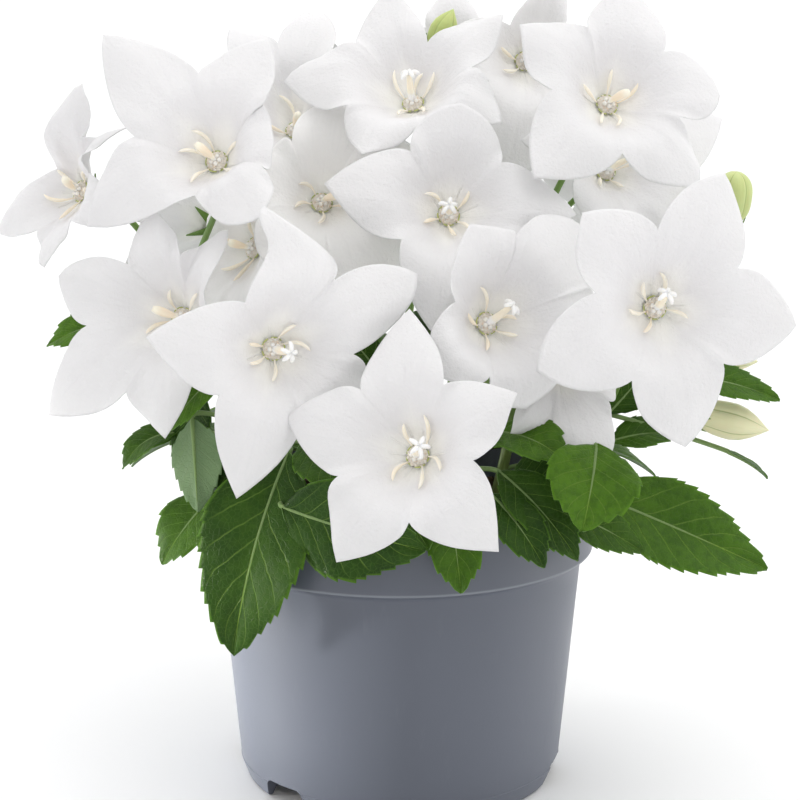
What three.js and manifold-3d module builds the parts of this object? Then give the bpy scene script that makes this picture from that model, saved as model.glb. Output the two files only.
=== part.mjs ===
// A potted balloon flower with white blooms, in millimetres.
// +Z is up, the pot's axis is the Z axis and its foot stands on z = 0.
// The front is -Y and the right is +X, as seen by someone looking along +Y.
import * as THREE from "three";
import { mergeVertices } from "three/addons/utils/BufferGeometryUtils.js";
import Module from "manifold-3d";

const wasm = await Module();
wasm.setup();

// Pot
const potHeight = 94;
const potRimRadius = 60;
const potFootRadius = 50;
const potWall = 1.6;
const bandBottom = 72;
const bandStep = 3.3;
const seamHeight = 5.8;
const notchCount = 6;
const notchFirstAngle = 12;
const notchWidth = 16.5;
const notchHeight = 5.5;
const recessDepth = 3;
const potSides = 30;

// Soil
const soilGap = 0.4;
const soilTop = 84;
const soilFloor = 6;
const soilRoughness = 1.6;
const soilSides = 16;

// Stems, in holes of the soil
const holeDepth = 26;
const stemRadius = 1.9;
const stalkRadius = 1.1;
const stemClearance = 0.3;
const stemSides = 5;

// Leaves
const leafThickness = 0.8;
const leafFold = 0.16;

// Blooms
const petalThickness = 0.8;
const throatRadius = 3.6;
const petalReach = 36;
const sinusShare = 0.5;
const cupDepth = 12;
const tipCurl = 3;
const edgeRoll = 2;
const seatGap = 0.35;

// How far a face may move where flat faces are merged.
const simplifyTolerance = 0.2;

const degree = Math.PI / 180;
const V = (x, y, z) => new THREE.Vector3(x, y, z);

// Each bloom: the middle of its throat, the way it faces (degrees to the right of the front,
// degrees above the horizon) and its five lobes, clockwise as one looks into it, as
// [degrees from its right hand side, length, lift of the tip].
const blooms = {
  front: {
    at: [5, -77, 118],
    face: [-20, 22],
    sinus: 0.48,
    blunt: 0.05,
    lobes: [[98, 39, 0], [31, 33, 0], [-41, 37, 0], [-117, 35, 0], [170, 37, 1]],
  },
  right: {
    at: [69, -62, 156],
    face: [11, 8],
    blunt: 0.45,
    lobes: [[63, 40, 0], [-9, 38, 0], [-82, 38, 0], [-156, 39, 0], [131, 34, 0]],
  },
  leftCentre: {
    at: [-35, -58, 144],
    face: [14, 6],
    sinus: 0.47,
    blunt: 0,
    lobes: [[87, 39, 0], [27, 44, 2], [-36, 32, -9], [-107, 42, 0], [172, 36, 0]],
  },
  left: {
    at: [-62, -36, 149],
    face: [-20, 14],
    lobes: [[102, 31, 2], [50, 30, -8], [-83, 35, 3, 0], [-144, 52, -2], [165, 35, 4, 0.9]],
  },
  upperLeft: {
    at: [-52, -30, 193],
    face: [-12, 26],
    lobes: [[136, 50, 6, 0.3], [67, 36, 0, 0.5], [6, 22, -12], [-52, 32, 6, 0.8], [-148, 41, -2]],
  },
  farLeft: {
    at: [-94, -10, 183],
    face: [-45, 18],
    sinus: 0.46,
    lobes: [[83, 30, 0, 0.4], [44, 28, -6], [-15, 32, -6], [-66, 28, 4], [-148, 31, -2, 0]],
  },
  middle: {
    at: [14, -22, 177],
    face: [6, 24],
    lobes: [[84, 31, 6, 0.9], [-5, 36, 0], [-52, 34, 0], [-99, 39, 0], [169, 37, 0]],
  },
  top: {
    at: [4, 0, 208],
    face: [-13, 44],
    lobes: [[108, 39, 3], [45, 36, 3], [-23, 32, -4], [-106, 31, 0], [177, 39, 0]],
  },
  innerLeft: {
    at: [-24, 6, 178],
    face: [12, 32],
    sinus: 0.7,
    blunt: 0.9,
    steps: 2,
    lobes: [[79, 27, 3], [24, 30, 0], [-58, 34, 0], [-112, 31, -2], [162, 21, -4]],
  },
  innerLowLeft: {
    at: [-44, 0, 165],
    face: [-45, 12],
    sinus: 0.62,
    blunt: 0.9,
    steps: 2,
    lobes: [[80, 24, -2], [5, 22, 0], [-58, 28, 0], [-125, 25, 0], [155, 17, -3]],
  },
  innerRight: {
    at: [24, -46, 149],
    face: [24, 18],
    sinus: 0.56,
    lobes: [[109, 27, 6], [40, 40, 0, 0.8], [-13, 37, -4, 0.9], [-78, 26, -4, 0.8], [-150, 27, 0, 0.6]],
  },
  upperRight: {
    at: [61, -6, 208],
    face: [14, 30],
    lobes: [[75, 38, 0], [-4, 32, 0, 1], [-57, 37, 0, 0.6], [-137, 40, 0], [142, 34, 0]],
  },
  underUpperRight: {
    at: [65, 30, 186],
    face: [18, 24],
    steps: 2,
    lobes: [[85, 20, -4], [20, 44, 0], [-52, 34, 0], [-125, 26, 0], [166, 32, 0]],
  },
  topBehind: {
    at: [40, 46, 220],
    face: [8, 20],
    blunt: 0.9,
    steps: 2,
    lobes: [[64, 27, 0, 0], [5, 22, 0], [-42, 32, 0], [-101, 42, 0], [170, 26, 0]],
  },
  upperLeftBehind: {
    at: [-33, 33, 209],
    face: [-8, 40],
    sinus: 0.5,
    steps: 2,
    lobes: [[88, 35, 0, 0.9], [20, 25, 0], [-52, 27, 0, 0.9], [-112, 23, 0, 0.9], [132, 38, 0, 0]],
  },
  lowRight: {
    at: [50, -28, 133],
    face: [14, 0],
    blunt: 0.9,
    steps: 2,
    lobes: [[86, 24, -4], [14, 13, -6], [-68, 26, 0], [-125, 25, 0, 0], [157, 25, 0]],
  },
  crown: {
    at: [18, 60, 214],
    face: [0, 35],
    steps: 2,
    lobes: [[90, 30, 0], [25, 26, 0], [-54, 24, 0], [-126, 26, 0], [162, 28, 0]],
  },
  backLeft: {
    at: [-62, 48, 168],
    face: [-130, 25],
    steps: 2,
    lobes: [[95, 36, 0], [22, 35, 0], [-50, 36, 0], [-122, 35, 0], [166, 37, 0]],
  },
  back: {
    at: [2, 78, 160],
    face: [178, 20],
    steps: 2,
    lobes: [[80, 36, 0], [8, 35, 0], [-64, 36, 0], [-136, 35, 0], [152, 37, 0]],
  },
  backRight: {
    at: [66, 58, 168],
    face: [135, 25],
    steps: 2,
    lobes: [[100, 36, 0], [28, 35, 0], [-44, 36, 0], [-116, 35, 0], [172, 37, 0]],
  },
  backUpper: {
    at: [-26, 62, 196],
    face: [-165, 40],
    steps: 2,
    lobes: [[90, 32, 0], [18, 33, 0], [-54, 34, 0], [-126, 33, 0], [162, 33, 0]],
  },
};

// Each bud: the middle of its base, the way it points, its length and its radius.
const buds = {
  top: { at: [11, 40, 224], face: [90, 65], length: 14, radius: 4.5, colour: "#b9c96a" },
  right: { at: [102.5, 14, 167], face: [20, 76], length: 19, radius: 5.2, colour: "#c3d07a" },
  lowRight: { at: [88, -26, 119.5], face: [81, -13], length: 21, radius: 5.6, colour: "#d9d6a0" },
  midRight: { at: [91, -20, 136], face: [84, -8], length: 15, radius: 4, colour: "#eae6bf" },
};

// Each stem: where it leaves the soil, where it ends and how its middle bends; the blooms it
// carries, with the share of its length at which their stalks leave it; and its leaves.
// A leaf is [share of the stem, where its blade starts, its tip, the way its upper side faces,
// width, arch]. A plain leaf is [share, direction, length, rise in degrees, width].
const stems = {
  front: {
    foot: [2, -26],
    bend: [2, -34, 100],
    end: [12, -38, 122],
    stalks: { front: 0.7, innerRight: 0.97 },
    leaves: [
      [0.3, [14, -54, 99], [17, -68, 77], [0, 25], 17, 2],
      [0.7, [27, -46, 118], [46, -57, 112], [20, 50], 19, 3],
      [0.5, [28, -48, 107], [50, -60, 84], [10, 35], 17, 4],
      [0.4, [26, -52, 101], [40, -67, 84], [10, 30], 15, 3],
      [0.2, [-2, -50, 100], [8, -66, 89], [-10, 40], 18, 2],
    ],
    plain: [],
  },
  right: {
    foot: [28, -22],
    bend: [44, -22, 100],
    end: [66, -18, 122],
    stalks: { right: 0.85, lowRight: 0.6, lowRight_bud: 1, midRight_bud: 0.95 },
    leaves: [
      [0.25, [52, -54, 115], [54, -69, 96], [10, 35], 28, 3],
      [0.4, [56, -38, 98], [107, -41, 76], [15, 32], 28, 1],
      [0.25, [45, -49, 96], [70, -48, 83], [10, 40], 15, 2],
      [1, [84, -30, 131], [111, -30, 124], [10, 45], 12, 2],
      [0.9, [97, -26, 108], [108, -32, 101], [80, 20], 7, 1],
      [0.6, [62, -24, 110], [84, -22, 112], [0, 60], 14, 2],
      [0.3, [32, -40, 104], [51, -46, 103], [0, 40], 22, 1],
      [0.8, [62, -20, 118], [74, -24, 134], [20, 10], 13, 1],
    ],
    plain: [],
  },
  leftFront: {
    foot: [-24, -24],
    bend: [-32, -28, 100],
    end: [-42, -28, 124],
    stalks: { leftCentre: 0.9, left: 0.8 },
    leaves: [
      [0.55, [-32, -42, 111], [-48, -51, 53], [-15, 22], 35, 7],
      [0.7, [-27, -42, 114], [-13, -60, 102], [-5, 50], 20, 3],
      [0.3, [-33, -54, 98], [7, -67, 89], [-15, 0], 30, 2],
      [0.5, [-54, -30, 96], [-70, -36, 76], [-35, 30], 20, 2],
      [0.8, [-60, -36, 120], [-58, -44, 94], [160, 10], 18, 0],
    ],
    plain: [],
  },
  left: {
    foot: [-34, -4],
    bend: [-46, 8, 112],
    end: [-68, 20, 148],
    stalks: { upperLeft: 0.95, farLeft: 0.85 },
    leaves: [
      [0.35, [-66, -24, 113], [-82, -28, 103], [-30, 50], 12, 4],
      [0.6, [-84, -18, 145], [-105, -18, 138], [-20, 50], 13, 2],
      [0.45, [-60, -22, 126], [-62, -30, 100], [-30, 10], 16, 1],
    ],
    plain: [
      [0.3, -100, 40, -15, 20],
      [0.15, -80, 40, 15, 22],
      [0.3, -130, 38, -25, 18],
    ],
  },
  middle: {
    foot: [4, -6],
    bend: [5, -2, 120],
    end: [8, 8, 172],
    stalks: { middle: 0.6, top: 0.97, top_bud: 0.9 },
    leaves: [[0.4, [-4, -20, 128], [-18, -30, 147], [-10, 20], 16, 1]],
    plain: [],
  },
  innerLeft: {
    foot: [-16, 4],
    bend: [-22, 12, 120],
    end: [-30, 22, 168],
    stalks: { innerLeft: 0.75, innerLowLeft: 0.6, upperLeftBehind: 0.97 },
    leaves: [],
    plain: [],
  },
  upperRight: {
    foot: [30, 2],
    bend: [38, 2, 120],
    end: [42, 6, 168],
    stalks: { upperRight: 0.97, right_bud: 0.6 },
    leaves: [],
    plain: [
      [0.2, 80, 42, -10, 22],
      [0.35, 110, 40, 0, 20],
      [0.12, 90, 38, -12, 22],
      [0.3, 140, 40, -25, 18],
    ],
  },
  backRight: {
    foot: [20, 24],
    bend: [28, 34, 120],
    end: [42, 54, 168],
    stalks: { topBehind: 0.97, backRight: 0.6, underUpperRight: 0.8 },
    leaves: [],
    plain: [
      [0.2, 130, 42, -15, 22],
      [0.3, 160, 38, -10, 20],
      [0.12, 80, 40, -10, 22],
      [0.25, 170, 36, -14, 18],
      [0.45, 110, 40, -25, 22],
    ],
  },
  backLeft: {
    foot: [-22, 26],
    bend: [-30, 36, 115],
    end: [-36, 48, 152],
    stalks: { backLeft: 0.85, backUpper: 0.95 },
    leaves: [],
    plain: [
      [0.35, -110, 42, -15, 22],
      [0.45, -150, 40, -10, 20],
      [0.12, -80, 40, -10, 22],
      [0.25, -170, 34, 0, 22],
      [0.5, -110, 38, -12, 22],
    ],
  },
  back: {
    foot: [0, 34],
    bend: [0, 44, 110],
    end: [4, 60, 142],
    stalks: { back: 0.8, crown: 1 },
    leaves: [],
    plain: [
      [0.35, 170, 40, -20, 22],
      [0.5, -170, 36, -5, 20],
      [0.15, 150, 44, -10, 24],
      [0.28, -120, 42, -20, 24],
      [0.42, 130, 40, -18, 22],
      [0.6, -120, 40, -20, 20],
    ],
  },
};

// Solids

function toSolid(geometry) {
  const bare = new THREE.BufferGeometry();
  const flat = geometry.index ? geometry.toNonIndexed() : geometry;
  bare.setAttribute("position", flat.getAttribute("position"));
  const merged = mergeVertices(bare, 1e-3);
  return new wasm.Manifold(
    new wasm.Mesh({
      numProp: 3,
      vertProperties: merged.attributes.position.array,
      triVerts: new Uint32Array(merged.index.array),
    }),
  );
}

function toGeometry(solid) {
  const mesh = solid.getMesh();
  const geometry = new THREE.BufferGeometry();
  const positions = new Float32Array(mesh.vertProperties);
  geometry.setAttribute("position", new THREE.BufferAttribute(positions, 3));
  geometry.setIndex(new THREE.BufferAttribute(new Uint32Array(mesh.triVerts), 1));
  return geometry;
}

function solidFrom(points, triangles) {
  return new wasm.Manifold(
    new wasm.Mesh({
      numProp: 3,
      vertProperties: new Float32Array(points.flatMap((p) => [p.x, p.y, p.z])),
      triVerts: new Uint32Array(triangles.flat()),
    }),
  );
}

function union(solids) {
  return solids.reduce((all, solid) => all.add(solid));
}

// A closed sheet of even thickness around a surface of points and triangles.
function sheet(points, triangles, thickness) {
  const normals = points.map(() => V(0, 0, 0));
  for (const [a, b, c] of triangles) {
    const side = points[b].clone().sub(points[a]);
    const face = side.cross(points[c].clone().sub(points[a]));
    for (const i of [a, b, c]) normals[i].add(face);
  }
  normals.forEach((n) => n.setLength(thickness / 2));
  const count = points.length;
  const front = points.map((p, i) => p.clone().add(normals[i]));
  const rear = points.map((p, i) => p.clone().sub(normals[i]));
  const faces = [];
  const edges = new Set();
  for (const [a, b, c] of triangles) {
    faces.push([a, b, c], [a + count, c + count, b + count]);
    for (const [from, to] of [[a, b], [b, c], [c, a]]) {
      if (edges.has(to + "," + from)) edges.delete(to + "," + from);
      else edges.add(from + "," + to);
    }
  }
  for (const edge of edges) {
    const [from, to] = edge.split(",").map(Number);
    faces.push([to, from, from + count], [to, from + count, to + count]);
  }
  return solidFrom([...front, ...rear], faces);
}

// A tube through points, closed at both ends.
function tube(points, radii, sides) {
  const rings = [];
  let across = null;
  points.forEach((point, i) => {
    const ahead = points[Math.min(i + 1, points.length - 1)];
    const behind = points[Math.max(i - 1, 0)];
    const along = ahead.clone().sub(behind).normalize();
    if (!across) {
      const helper = Math.abs(along.x) < 0.8 ? V(1, 0, 0) : V(0, 1, 0);
      across = helper.cross(along).normalize();
    } else {
      across.sub(along.clone().multiplyScalar(across.dot(along))).normalize();
    }
    const other = along.clone().cross(across);
    for (let k = 0; k < sides; k++) {
      const angle = (2 * Math.PI * k) / sides;
      const spoke = across.clone().multiplyScalar(Math.cos(angle) * radii[i]);
      spoke.add(other.clone().multiplyScalar(Math.sin(angle) * radii[i]));
      rings.push(point.clone().add(spoke));
    }
  });
  const faces = [];
  for (let i = 0; i < points.length - 1; i++) {
    for (let k = 0; k < sides; k++) {
      const a = i * sides + k;
      const b = i * sides + ((k + 1) % sides);
      faces.push([a, b, b + sides], [a, b + sides, a + sides]);
    }
  }
  const last = (points.length - 1) * sides;
  for (let k = 1; k < sides - 1; k++) {
    faces.push([0, k + 1, k], [last, last + k, last + k + 1]);
  }
  return solidFrom(rings, faces);
}

// A profile of [radius, height] turned about the Z axis, first and last point on the axis.
function turned(profile, sides) {
  const outline = profile.map(([radius, height]) => new THREE.Vector2(radius, height));
  const solid = toSolid(new THREE.LatheGeometry(outline, sides));
  return solid.rotate([90, 0, 0]);
}

function frameAt(at, face) {
  const turn = face[0] * degree;
  const climb = face[1] * degree;
  const out = V(
    Math.cos(climb) * Math.sin(turn),
    -Math.cos(climb) * Math.cos(turn),
    Math.sin(climb),
  );
  const right = V(Math.cos(turn), Math.sin(turn), 0);
  const up = out.clone().cross(right);
  return { at: V(...at), right, up, out };
}

function place(frame, x, y, z) {
  return frame.at
    .clone()
    .addScaledVector(frame.right, x)
    .addScaledVector(frame.up, y)
    .addScaledVector(frame.out, z);
}

function placeSolid(frame, solid) {
  const { right, up, out, at } = frame;
  const columns = [right, up, out, at];
  const matrix = columns.flatMap((c, i) => [c.x, c.y, c.z, i === 3 ? 1 : 0]);
  return solid.transform(matrix);
}

// Blooms

function cupHeight(bloom, radius) {
  const x = Math.max(0, radius - throatRadius) / (petalReach - throatRadius);
  const bowl = 1 - (1 - Math.min(x / 0.8, 1)) ** 2;
  const curl = Math.max(0, x - 0.5) ** 2 * 4;
  return (bloom.cup ?? cupDepth) * bowl - (bloom.curl ?? tipCurl) * curl;
}

// The edge of half a lobe, from its tip (t = 0) to the sinus (t = 1), as [along, across].
function lobeEdge(reach, sinusReach, halfGap, blunt, t) {
  const sinusAlong = sinusReach * Math.cos(halfGap);
  const sinusAcross = sinusReach * Math.sin(halfGap);
  const shoulder = Math.max(sinusAlong, 0.36 * reach) + (0.18 + 0.1 * blunt) * reach;
  const half = Math.min(sinusAcross, 0.3 * reach);
  const xs = [reach, (0.8 + 0.14 * blunt) * reach, shoulder, sinusAlong];
  const ys = [0, (0.75 + 0.3 * blunt) * half, 1.35 * half, sinusAcross];
  const weights = [(1 - t) ** 3, 3 * t * (1 - t) ** 2, 3 * t * t * (1 - t), t ** 3];
  const mix = (values) => values.reduce((sum, v, i) => sum + v * weights[i], 0);
  return [mix(xs), mix(ys)];
}

function lobeFacts(bloom) {
  const lobes = bloom.lobes;
  return lobes.map(([angle, reach, lift, blunt = bloom.blunt ?? 0.15], k) => {
    const gaps = [-1, 1].map((side) => {
      const other = lobes[(k + side + 5) % 5];
      const turn = side * (angle - other[0]);
      const gap = (((turn % 360) + 360) % 360) / 2;
      const share = bloom.sinus ?? sinusShare;
      const tight = Math.min(1, 40 / gap);
      return { half: gap * degree, sinus: (share * tight * (reach + other[1])) / 2 };
    });
    return { angle: angle * degree, reach, lift, blunt, gaps };
  });
}

// A point of a bloom's surface: across runs from -1 to 1 over the lobe, out from 0 to 1.
function petalPoint(bloom, frame, lobe, across, out) {
  const side = across < 0 ? 0 : 1;
  const { half, sinus } = lobe.gaps[side];
  const [along, width] = lobeEdge(lobe.reach, sinus, half, lobe.blunt, Math.abs(across));
  const edge = Math.hypot(along, width);
  const share = (throatRadius + (edge - throatRadius) * out) / edge;
  const x = along * share;
  const y = width * share * (side ? -1 : 1);
  const hinge = 0.42 * lobe.reach;
  const bend = Math.max(0, (x - hinge) / (lobe.reach - hinge)) ** 1.5;
  const roll = edgeRoll * across ** 2 * Math.max(0, (out - 0.35) / 0.65) ** 2;
  const height = cupHeight(bloom, Math.hypot(x, y)) + lobe.lift * bend - roll;
  const cos = Math.cos(lobe.angle);
  const sin = Math.sin(lobe.angle);
  return place(frame, x * cos - y * sin, x * sin + y * cos, height);
}

function corolla(bloom) {
  const frame = frameAt(bloom.at, bloom.face);
  const facts = lobeFacts(bloom);
  const steps = bloom.steps ?? 3;
  const rows = [0, 0.45, 1];
  const points = [place(frame, 0, 0, 0)];
  for (const out of rows) {
    for (const lobe of facts) {
      for (let j = -steps; j < steps; j++) {
        points.push(petalPoint(bloom, frame, lobe, j / steps, out));
      }
    }
  }
  const columns = 10 * steps;
  const faces = [];
  for (let c = 0; c < columns; c++) {
    const next = (c + 1) % columns;
    faces.push([0, 1 + next, 1 + c]);
    for (let r = 0; r < rows.length - 1; r++) {
      const a = 1 + r * columns + c;
      const b = 1 + r * columns + next;
      faces.push([a, b, b + columns], [a, b + columns, a + columns]);
    }
  }
  return sheet(points, faces, petalThickness).simplify(simplifyTolerance);
}

// A star-shaped solid between two points on the axis.
function starSolid(rays, low, high, outer, inner) {
  const points = [V(0, 0, high), V(0, 0, low)];
  const faces = [];
  for (let k = 0; k < 2 * rays; k++) {
    const angle = (90 + (k * 180) / rays) * degree;
    const [radius, height] = k % 2 ? inner : outer;
    points.push(V(Math.cos(angle) * radius, Math.sin(angle) * radius, height));
    const a = 2 + k;
    const b = 2 + ((k + 1) % (2 * rays));
    faces.push([0, a, b], [1, b, a]);
  }
  return solidFrom(points, faces);
}

// The fluffy middle with its five thin stamens, and the style that ends in a small star.
function bloomCentre(bloom) {
  const floor = petalThickness / 2 + seatGap;
  const stamenTip = [9.5, cupHeight(bloom, 9.5) + 1];
  const middle = starSolid(5, floor, floor + 2.6, stamenTip, [3.1, floor + 0.9]);
  const style = tube([V(0, 0, floor + 1.5), V(0, 0, 9)], [1.2, 0.9], 3);
  const stigma = starSolid(5, 8.4, 9.6, [2.8, 9.3], [1.2, 9]);
  return placeSolid(frameAt(bloom.at, bloom.face), union([middle, style, stigma]));
}

// The green cup that a bloom or a bud sits on.
function calyx(carried, top) {
  const profile = [[0, top - 7], [0.9, top - 7], [3.4, top - 3], [3.2, top], [0, top]];
  return placeSolid(frameAt(carried.at, carried.face), turned(profile, 5));
}

function budSolid(bud) {
  const shape = [[0, 0], [0.6, 0], [0.95, 0.25], [1, 0.5], [0.62, 0.78], [0, 1]];
  const profile = shape.map(([wide, high]) => [wide * bud.radius, high * bud.length]);
  return placeSolid(frameAt(bud.at, bud.face), turned(profile, 10));
}

function curvePoints(from, fromHandle, toHandle, to, count) {
  return new THREE.CubicBezierCurve3(from, fromHandle, toHandle, to).getPoints(count);
}

function stemPath(stem) {
  const start = V(stem.foot[0], stem.foot[1], soilTop + 3);
  return new THREE.QuadraticBezierCurve3(start, V(...stem.bend), V(...stem.end));
}

function stalk(path, share, carried, base) {
  const frame = frameAt(carried.at, carried.face);
  const start = path.getPoint(share);
  const forward = path.getTangent(share).multiplyScalar(10).add(start);
  const behind = place(frame, 0, 0, base - 19);
  const seat = place(frame, 0, 0, base - 6);
  const points = curvePoints(start, forward, behind, seat, 4);
  return tube(points, points.map(() => stalkRadius), 4);
}

// Half the width of a blade along its length, as a share of its widest place.
function bladeWidth(t) {
  return Math.sin(Math.PI * t ** 0.8) ** 0.9;
}

function leaf(path, [share, from, tip, face, width, arch]) {
  const teeth = width > 22 ? 3 : 2;
  const start = V(...from);
  const end = V(...tip);
  const { out } = frameAt([0, 0, 0], face);
  const middle = start.clone().lerp(end, 0.5).addScaledVector(out, arch * 2);
  const axis = new THREE.QuadraticBezierCurve3(start, middle, end);
  const count = 2 * teeth + 2;
  const points = [];
  const root = path.getPoint(share);
  const reach = start.clone().sub(root);
  const edge = out.clone().cross(reach).setLength(0.8);
  for (const hand of [-1, 0, 1]) points.push(root.clone().addScaledVector(edge, hand));
  for (let i = 0; i < count; i++) {
    const t = i / count;
    const along = axis.getTangent(t);
    const side = out.clone().cross(along).normalize();
    const upper = along.clone().cross(side);
    const tooth = i % 2 ? 1.03 : 0.86;
    const half = i === 0 ? 0.8 : (width / 2) * bladeWidth(t) * tooth;
    const middlePoint = axis.getPoint(t);
    for (const hand of [-1, 0, 1]) {
      const point = middlePoint.clone().addScaledVector(side, hand * half);
      points.push(point.addScaledVector(upper, Math.abs(hand) * half * leafFold));
    }
  }
  points.push(end);
  const faces = [];
  for (let i = 0; i < count; i++) {
    for (const k of [0, 1]) {
      const a = 3 * i + k;
      faces.push([a, a + 3, a + 1], [a + 1, a + 3, a + 4]);
    }
  }
  const last = 3 * count;
  faces.push([last, last + 3, last + 1], [last + 1, last + 3, last + 2]);
  return sheet(points, faces, leafThickness);
}

function plainLeaf(path, [share, direction, length, rise, width]) {
  const { right, out } = frameAt([0, 0, 0], [direction, 0]);
  const root = path.getPoint(share);
  const start = root.clone().addScaledVector(out, 5).add(V(0, 0, 2));
  const tip = start.clone().addScaledVector(out, length * Math.cos(rise * degree));
  tip.z += length * Math.sin(rise * degree);
  return leaf(path, [share, start.toArray(), tip.toArray(), [direction, 70], width, length / 8]);
}

function leafyStem(stem) {
  const path = stemPath(stem);
  const foot = V(stem.foot[0], stem.foot[1], soilTop - holeDepth + stemClearance);
  const points = [foot, ...path.getPoints(4)];
  const radii = points.map((p, i) => stemRadius - (stemRadius - stalkRadius) * (i / 5));
  const parts = [tube(points, radii, stemSides)];
  for (const [name, share] of Object.entries(stem.stalks)) {
    const bud = buds[name.replace("_bud", "")];
    const carried = name.endsWith("_bud") ? bud : blooms[name];
    const top = carried === bud ? -seatGap : -petalThickness / 2 - seatGap;
    parts.push(stalk(path, share, carried, top));
    parts.push(calyx(carried, top));
  }
  for (const facts of stem.leaves) parts.push(leaf(path, facts));
  for (const facts of stem.plain) parts.push(plainLeaf(path, facts));
  return union(parts).simplify(simplifyTolerance);
}

// Pot and soil

function outerRadius(height) {
  const wallTop = potRimRadius - bandStep;
  return potFootRadius + ((wallTop - potFootRadius) * height) / bandBottom;
}

function innerRadius(height) {
  const slope = (potRimRadius - potFootRadius - bandStep) / bandBottom;
  return potFootRadius - potWall + slope * height;
}

function pot() {
  const floor = recessDepth + 2;
  const profile = [
    [0, 0],
    [12, 0],
    [14, recessDepth],
    [potFootRadius - 4, recessDepth],
    [potFootRadius - 3, 0],
    [potFootRadius, 0],
    [outerRadius(seamHeight), seamHeight],
    [outerRadius(seamHeight) - 0.3, seamHeight + 0.3],
    [outerRadius(bandBottom), bandBottom],
    [potRimRadius - 0.4, bandBottom],
    [potRimRadius, bandBottom + 0.6],
    [potRimRadius, potHeight - 1],
    [potRimRadius - 1, potHeight],
    [innerRadius(potHeight), potHeight],
    [innerRadius(floor), floor],
    [0, floor],
  ];
  const body = turned(profile, potSides);
  const arch = new THREE.Shape();
  const half = notchWidth / 2;
  const corner = 2.5;
  arch.moveTo(-half, -1);
  arch.lineTo(half, -1);
  arch.lineTo(half, notchHeight - corner);
  arch.lineTo(half - corner, notchHeight);
  arch.lineTo(corner - half, notchHeight);
  arch.lineTo(-half, notchHeight - corner);
  const block = new THREE.ExtrudeGeometry(arch, { depth: 9, bevelEnabled: false });
  const notch = toSolid(block).rotate([90, 0, 0]).translate([0, 3 - potFootRadius + 4, 0]);
  const notches = [];
  for (let k = 0; k < notchCount; k++) {
    notches.push(notch.rotate([0, 0, notchFirstAngle + (360 / notchCount) * k]));
  }
  return body.subtract(union(notches));
}

// A seeded row of numbers from 0 to 1.
function randomRow(seed) {
  let state = seed;
  return () => {
    state = (state * 1103515245 + 12345) % 2147483648;
    return state / 2147483648;
  };
}

function soil() {
  const random = randomRow(7);
  const bottom = soilFloor;
  const points = [V(0, 0, bottom)];
  const rings = [
    [innerRadius(bottom) - soilGap, bottom, 0],
    [innerRadius(soilTop - 2) - soilGap, soilTop - 2, 0],
    [innerRadius(soilTop - 2) - 8, soilTop, soilRoughness],
    [24, soilTop + 1, soilRoughness],
  ];
  for (const [radius, height, rough] of rings) {
    for (let k = 0; k < soilSides; k++) {
      const angle = (2 * Math.PI * k) / soilSides;
      const lump = (random() - 0.5) * rough;
      points.push(V(Math.cos(angle) * radius, Math.sin(angle) * radius, height + lump));
    }
  }
  points.push(V(0, 0, soilTop + 1));
  const faces = [];
  const last = points.length - 1;
  for (let k = 0; k < soilSides; k++) {
    const next = (k + 1) % soilSides;
    faces.push([0, 1 + next, 1 + k]);
    for (let r = 0; r < rings.length - 1; r++) {
      const a = 1 + r * soilSides + k;
      const b = 1 + r * soilSides + next;
      faces.push([a, b, b + soilSides], [a, b + soilSides, a + soilSides]);
    }
    const top = last - soilSides;
    faces.push([last, top + k, top + next]);
  }
  const lumpy = solidFrom(points, faces);
  const holes = Object.values(stems).map(({ foot }) => {
    const radius = (stemRadius + stemClearance) / Math.cos(Math.PI / 8);
    const low = soilTop - holeDepth;
    const high = soilTop + 6;
    const hole = turned([[0, low], [radius, low], [radius, high], [0, high]], 8);
    return hole.translate([foot[0], foot[1], 0]);
  });
  return lumpy.subtract(union(holes));
}

// The group of named pieces

const group = new THREE.Group();

function addPiece(name, solid, colour, roughness) {
  const material = new THREE.MeshStandardMaterial({ color: colour, roughness, metalness: 0 });
  const mesh = new THREE.Mesh(toGeometry(solid), material);
  mesh.name = name;
  group.add(mesh);
}

addPiece("pot", pot(), "#6e747d", 0.45);
addPiece("soil", soil(), "#3a2a1f", 0.95);
for (const [name, stem] of Object.entries(stems)) {
  addPiece("stem_" + name, leafyStem(stem), "#3f7a34", 0.5);
}
for (const [name, bloom] of Object.entries(blooms)) {
  addPiece("petals_" + name, corolla(bloom), "#f4f5f7", 0.5);
  addPiece("centre_" + name, bloomCentre(bloom), "#f0e9cf", 0.7);
}

for (const [name, bud] of Object.entries(buds)) {
  addPiece("bud_" + name, budSolid(bud), bud.colour, 0.5);
}

export default group;
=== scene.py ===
import math

import bpy
import numpy as np
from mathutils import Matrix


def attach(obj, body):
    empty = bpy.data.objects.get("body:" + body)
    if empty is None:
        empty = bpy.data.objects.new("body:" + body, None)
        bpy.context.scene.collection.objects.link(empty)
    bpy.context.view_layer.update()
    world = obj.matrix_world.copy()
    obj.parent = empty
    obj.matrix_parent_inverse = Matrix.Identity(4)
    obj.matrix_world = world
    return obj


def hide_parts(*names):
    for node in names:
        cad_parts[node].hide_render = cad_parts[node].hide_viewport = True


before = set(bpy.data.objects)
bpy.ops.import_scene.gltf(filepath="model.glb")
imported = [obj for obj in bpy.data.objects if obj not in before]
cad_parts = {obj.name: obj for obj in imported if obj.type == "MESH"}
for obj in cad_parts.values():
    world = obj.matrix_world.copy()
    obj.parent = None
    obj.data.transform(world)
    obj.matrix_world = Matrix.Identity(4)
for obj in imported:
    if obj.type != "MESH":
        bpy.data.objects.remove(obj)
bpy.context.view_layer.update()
mm = 0.001                              # sizes are in millimetres, and addPiece scales them to metres
degree = math.pi / 180


# Meshes from arrays. A part is a dictionary of arrays: points, quads, tris and values for the points.

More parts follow.
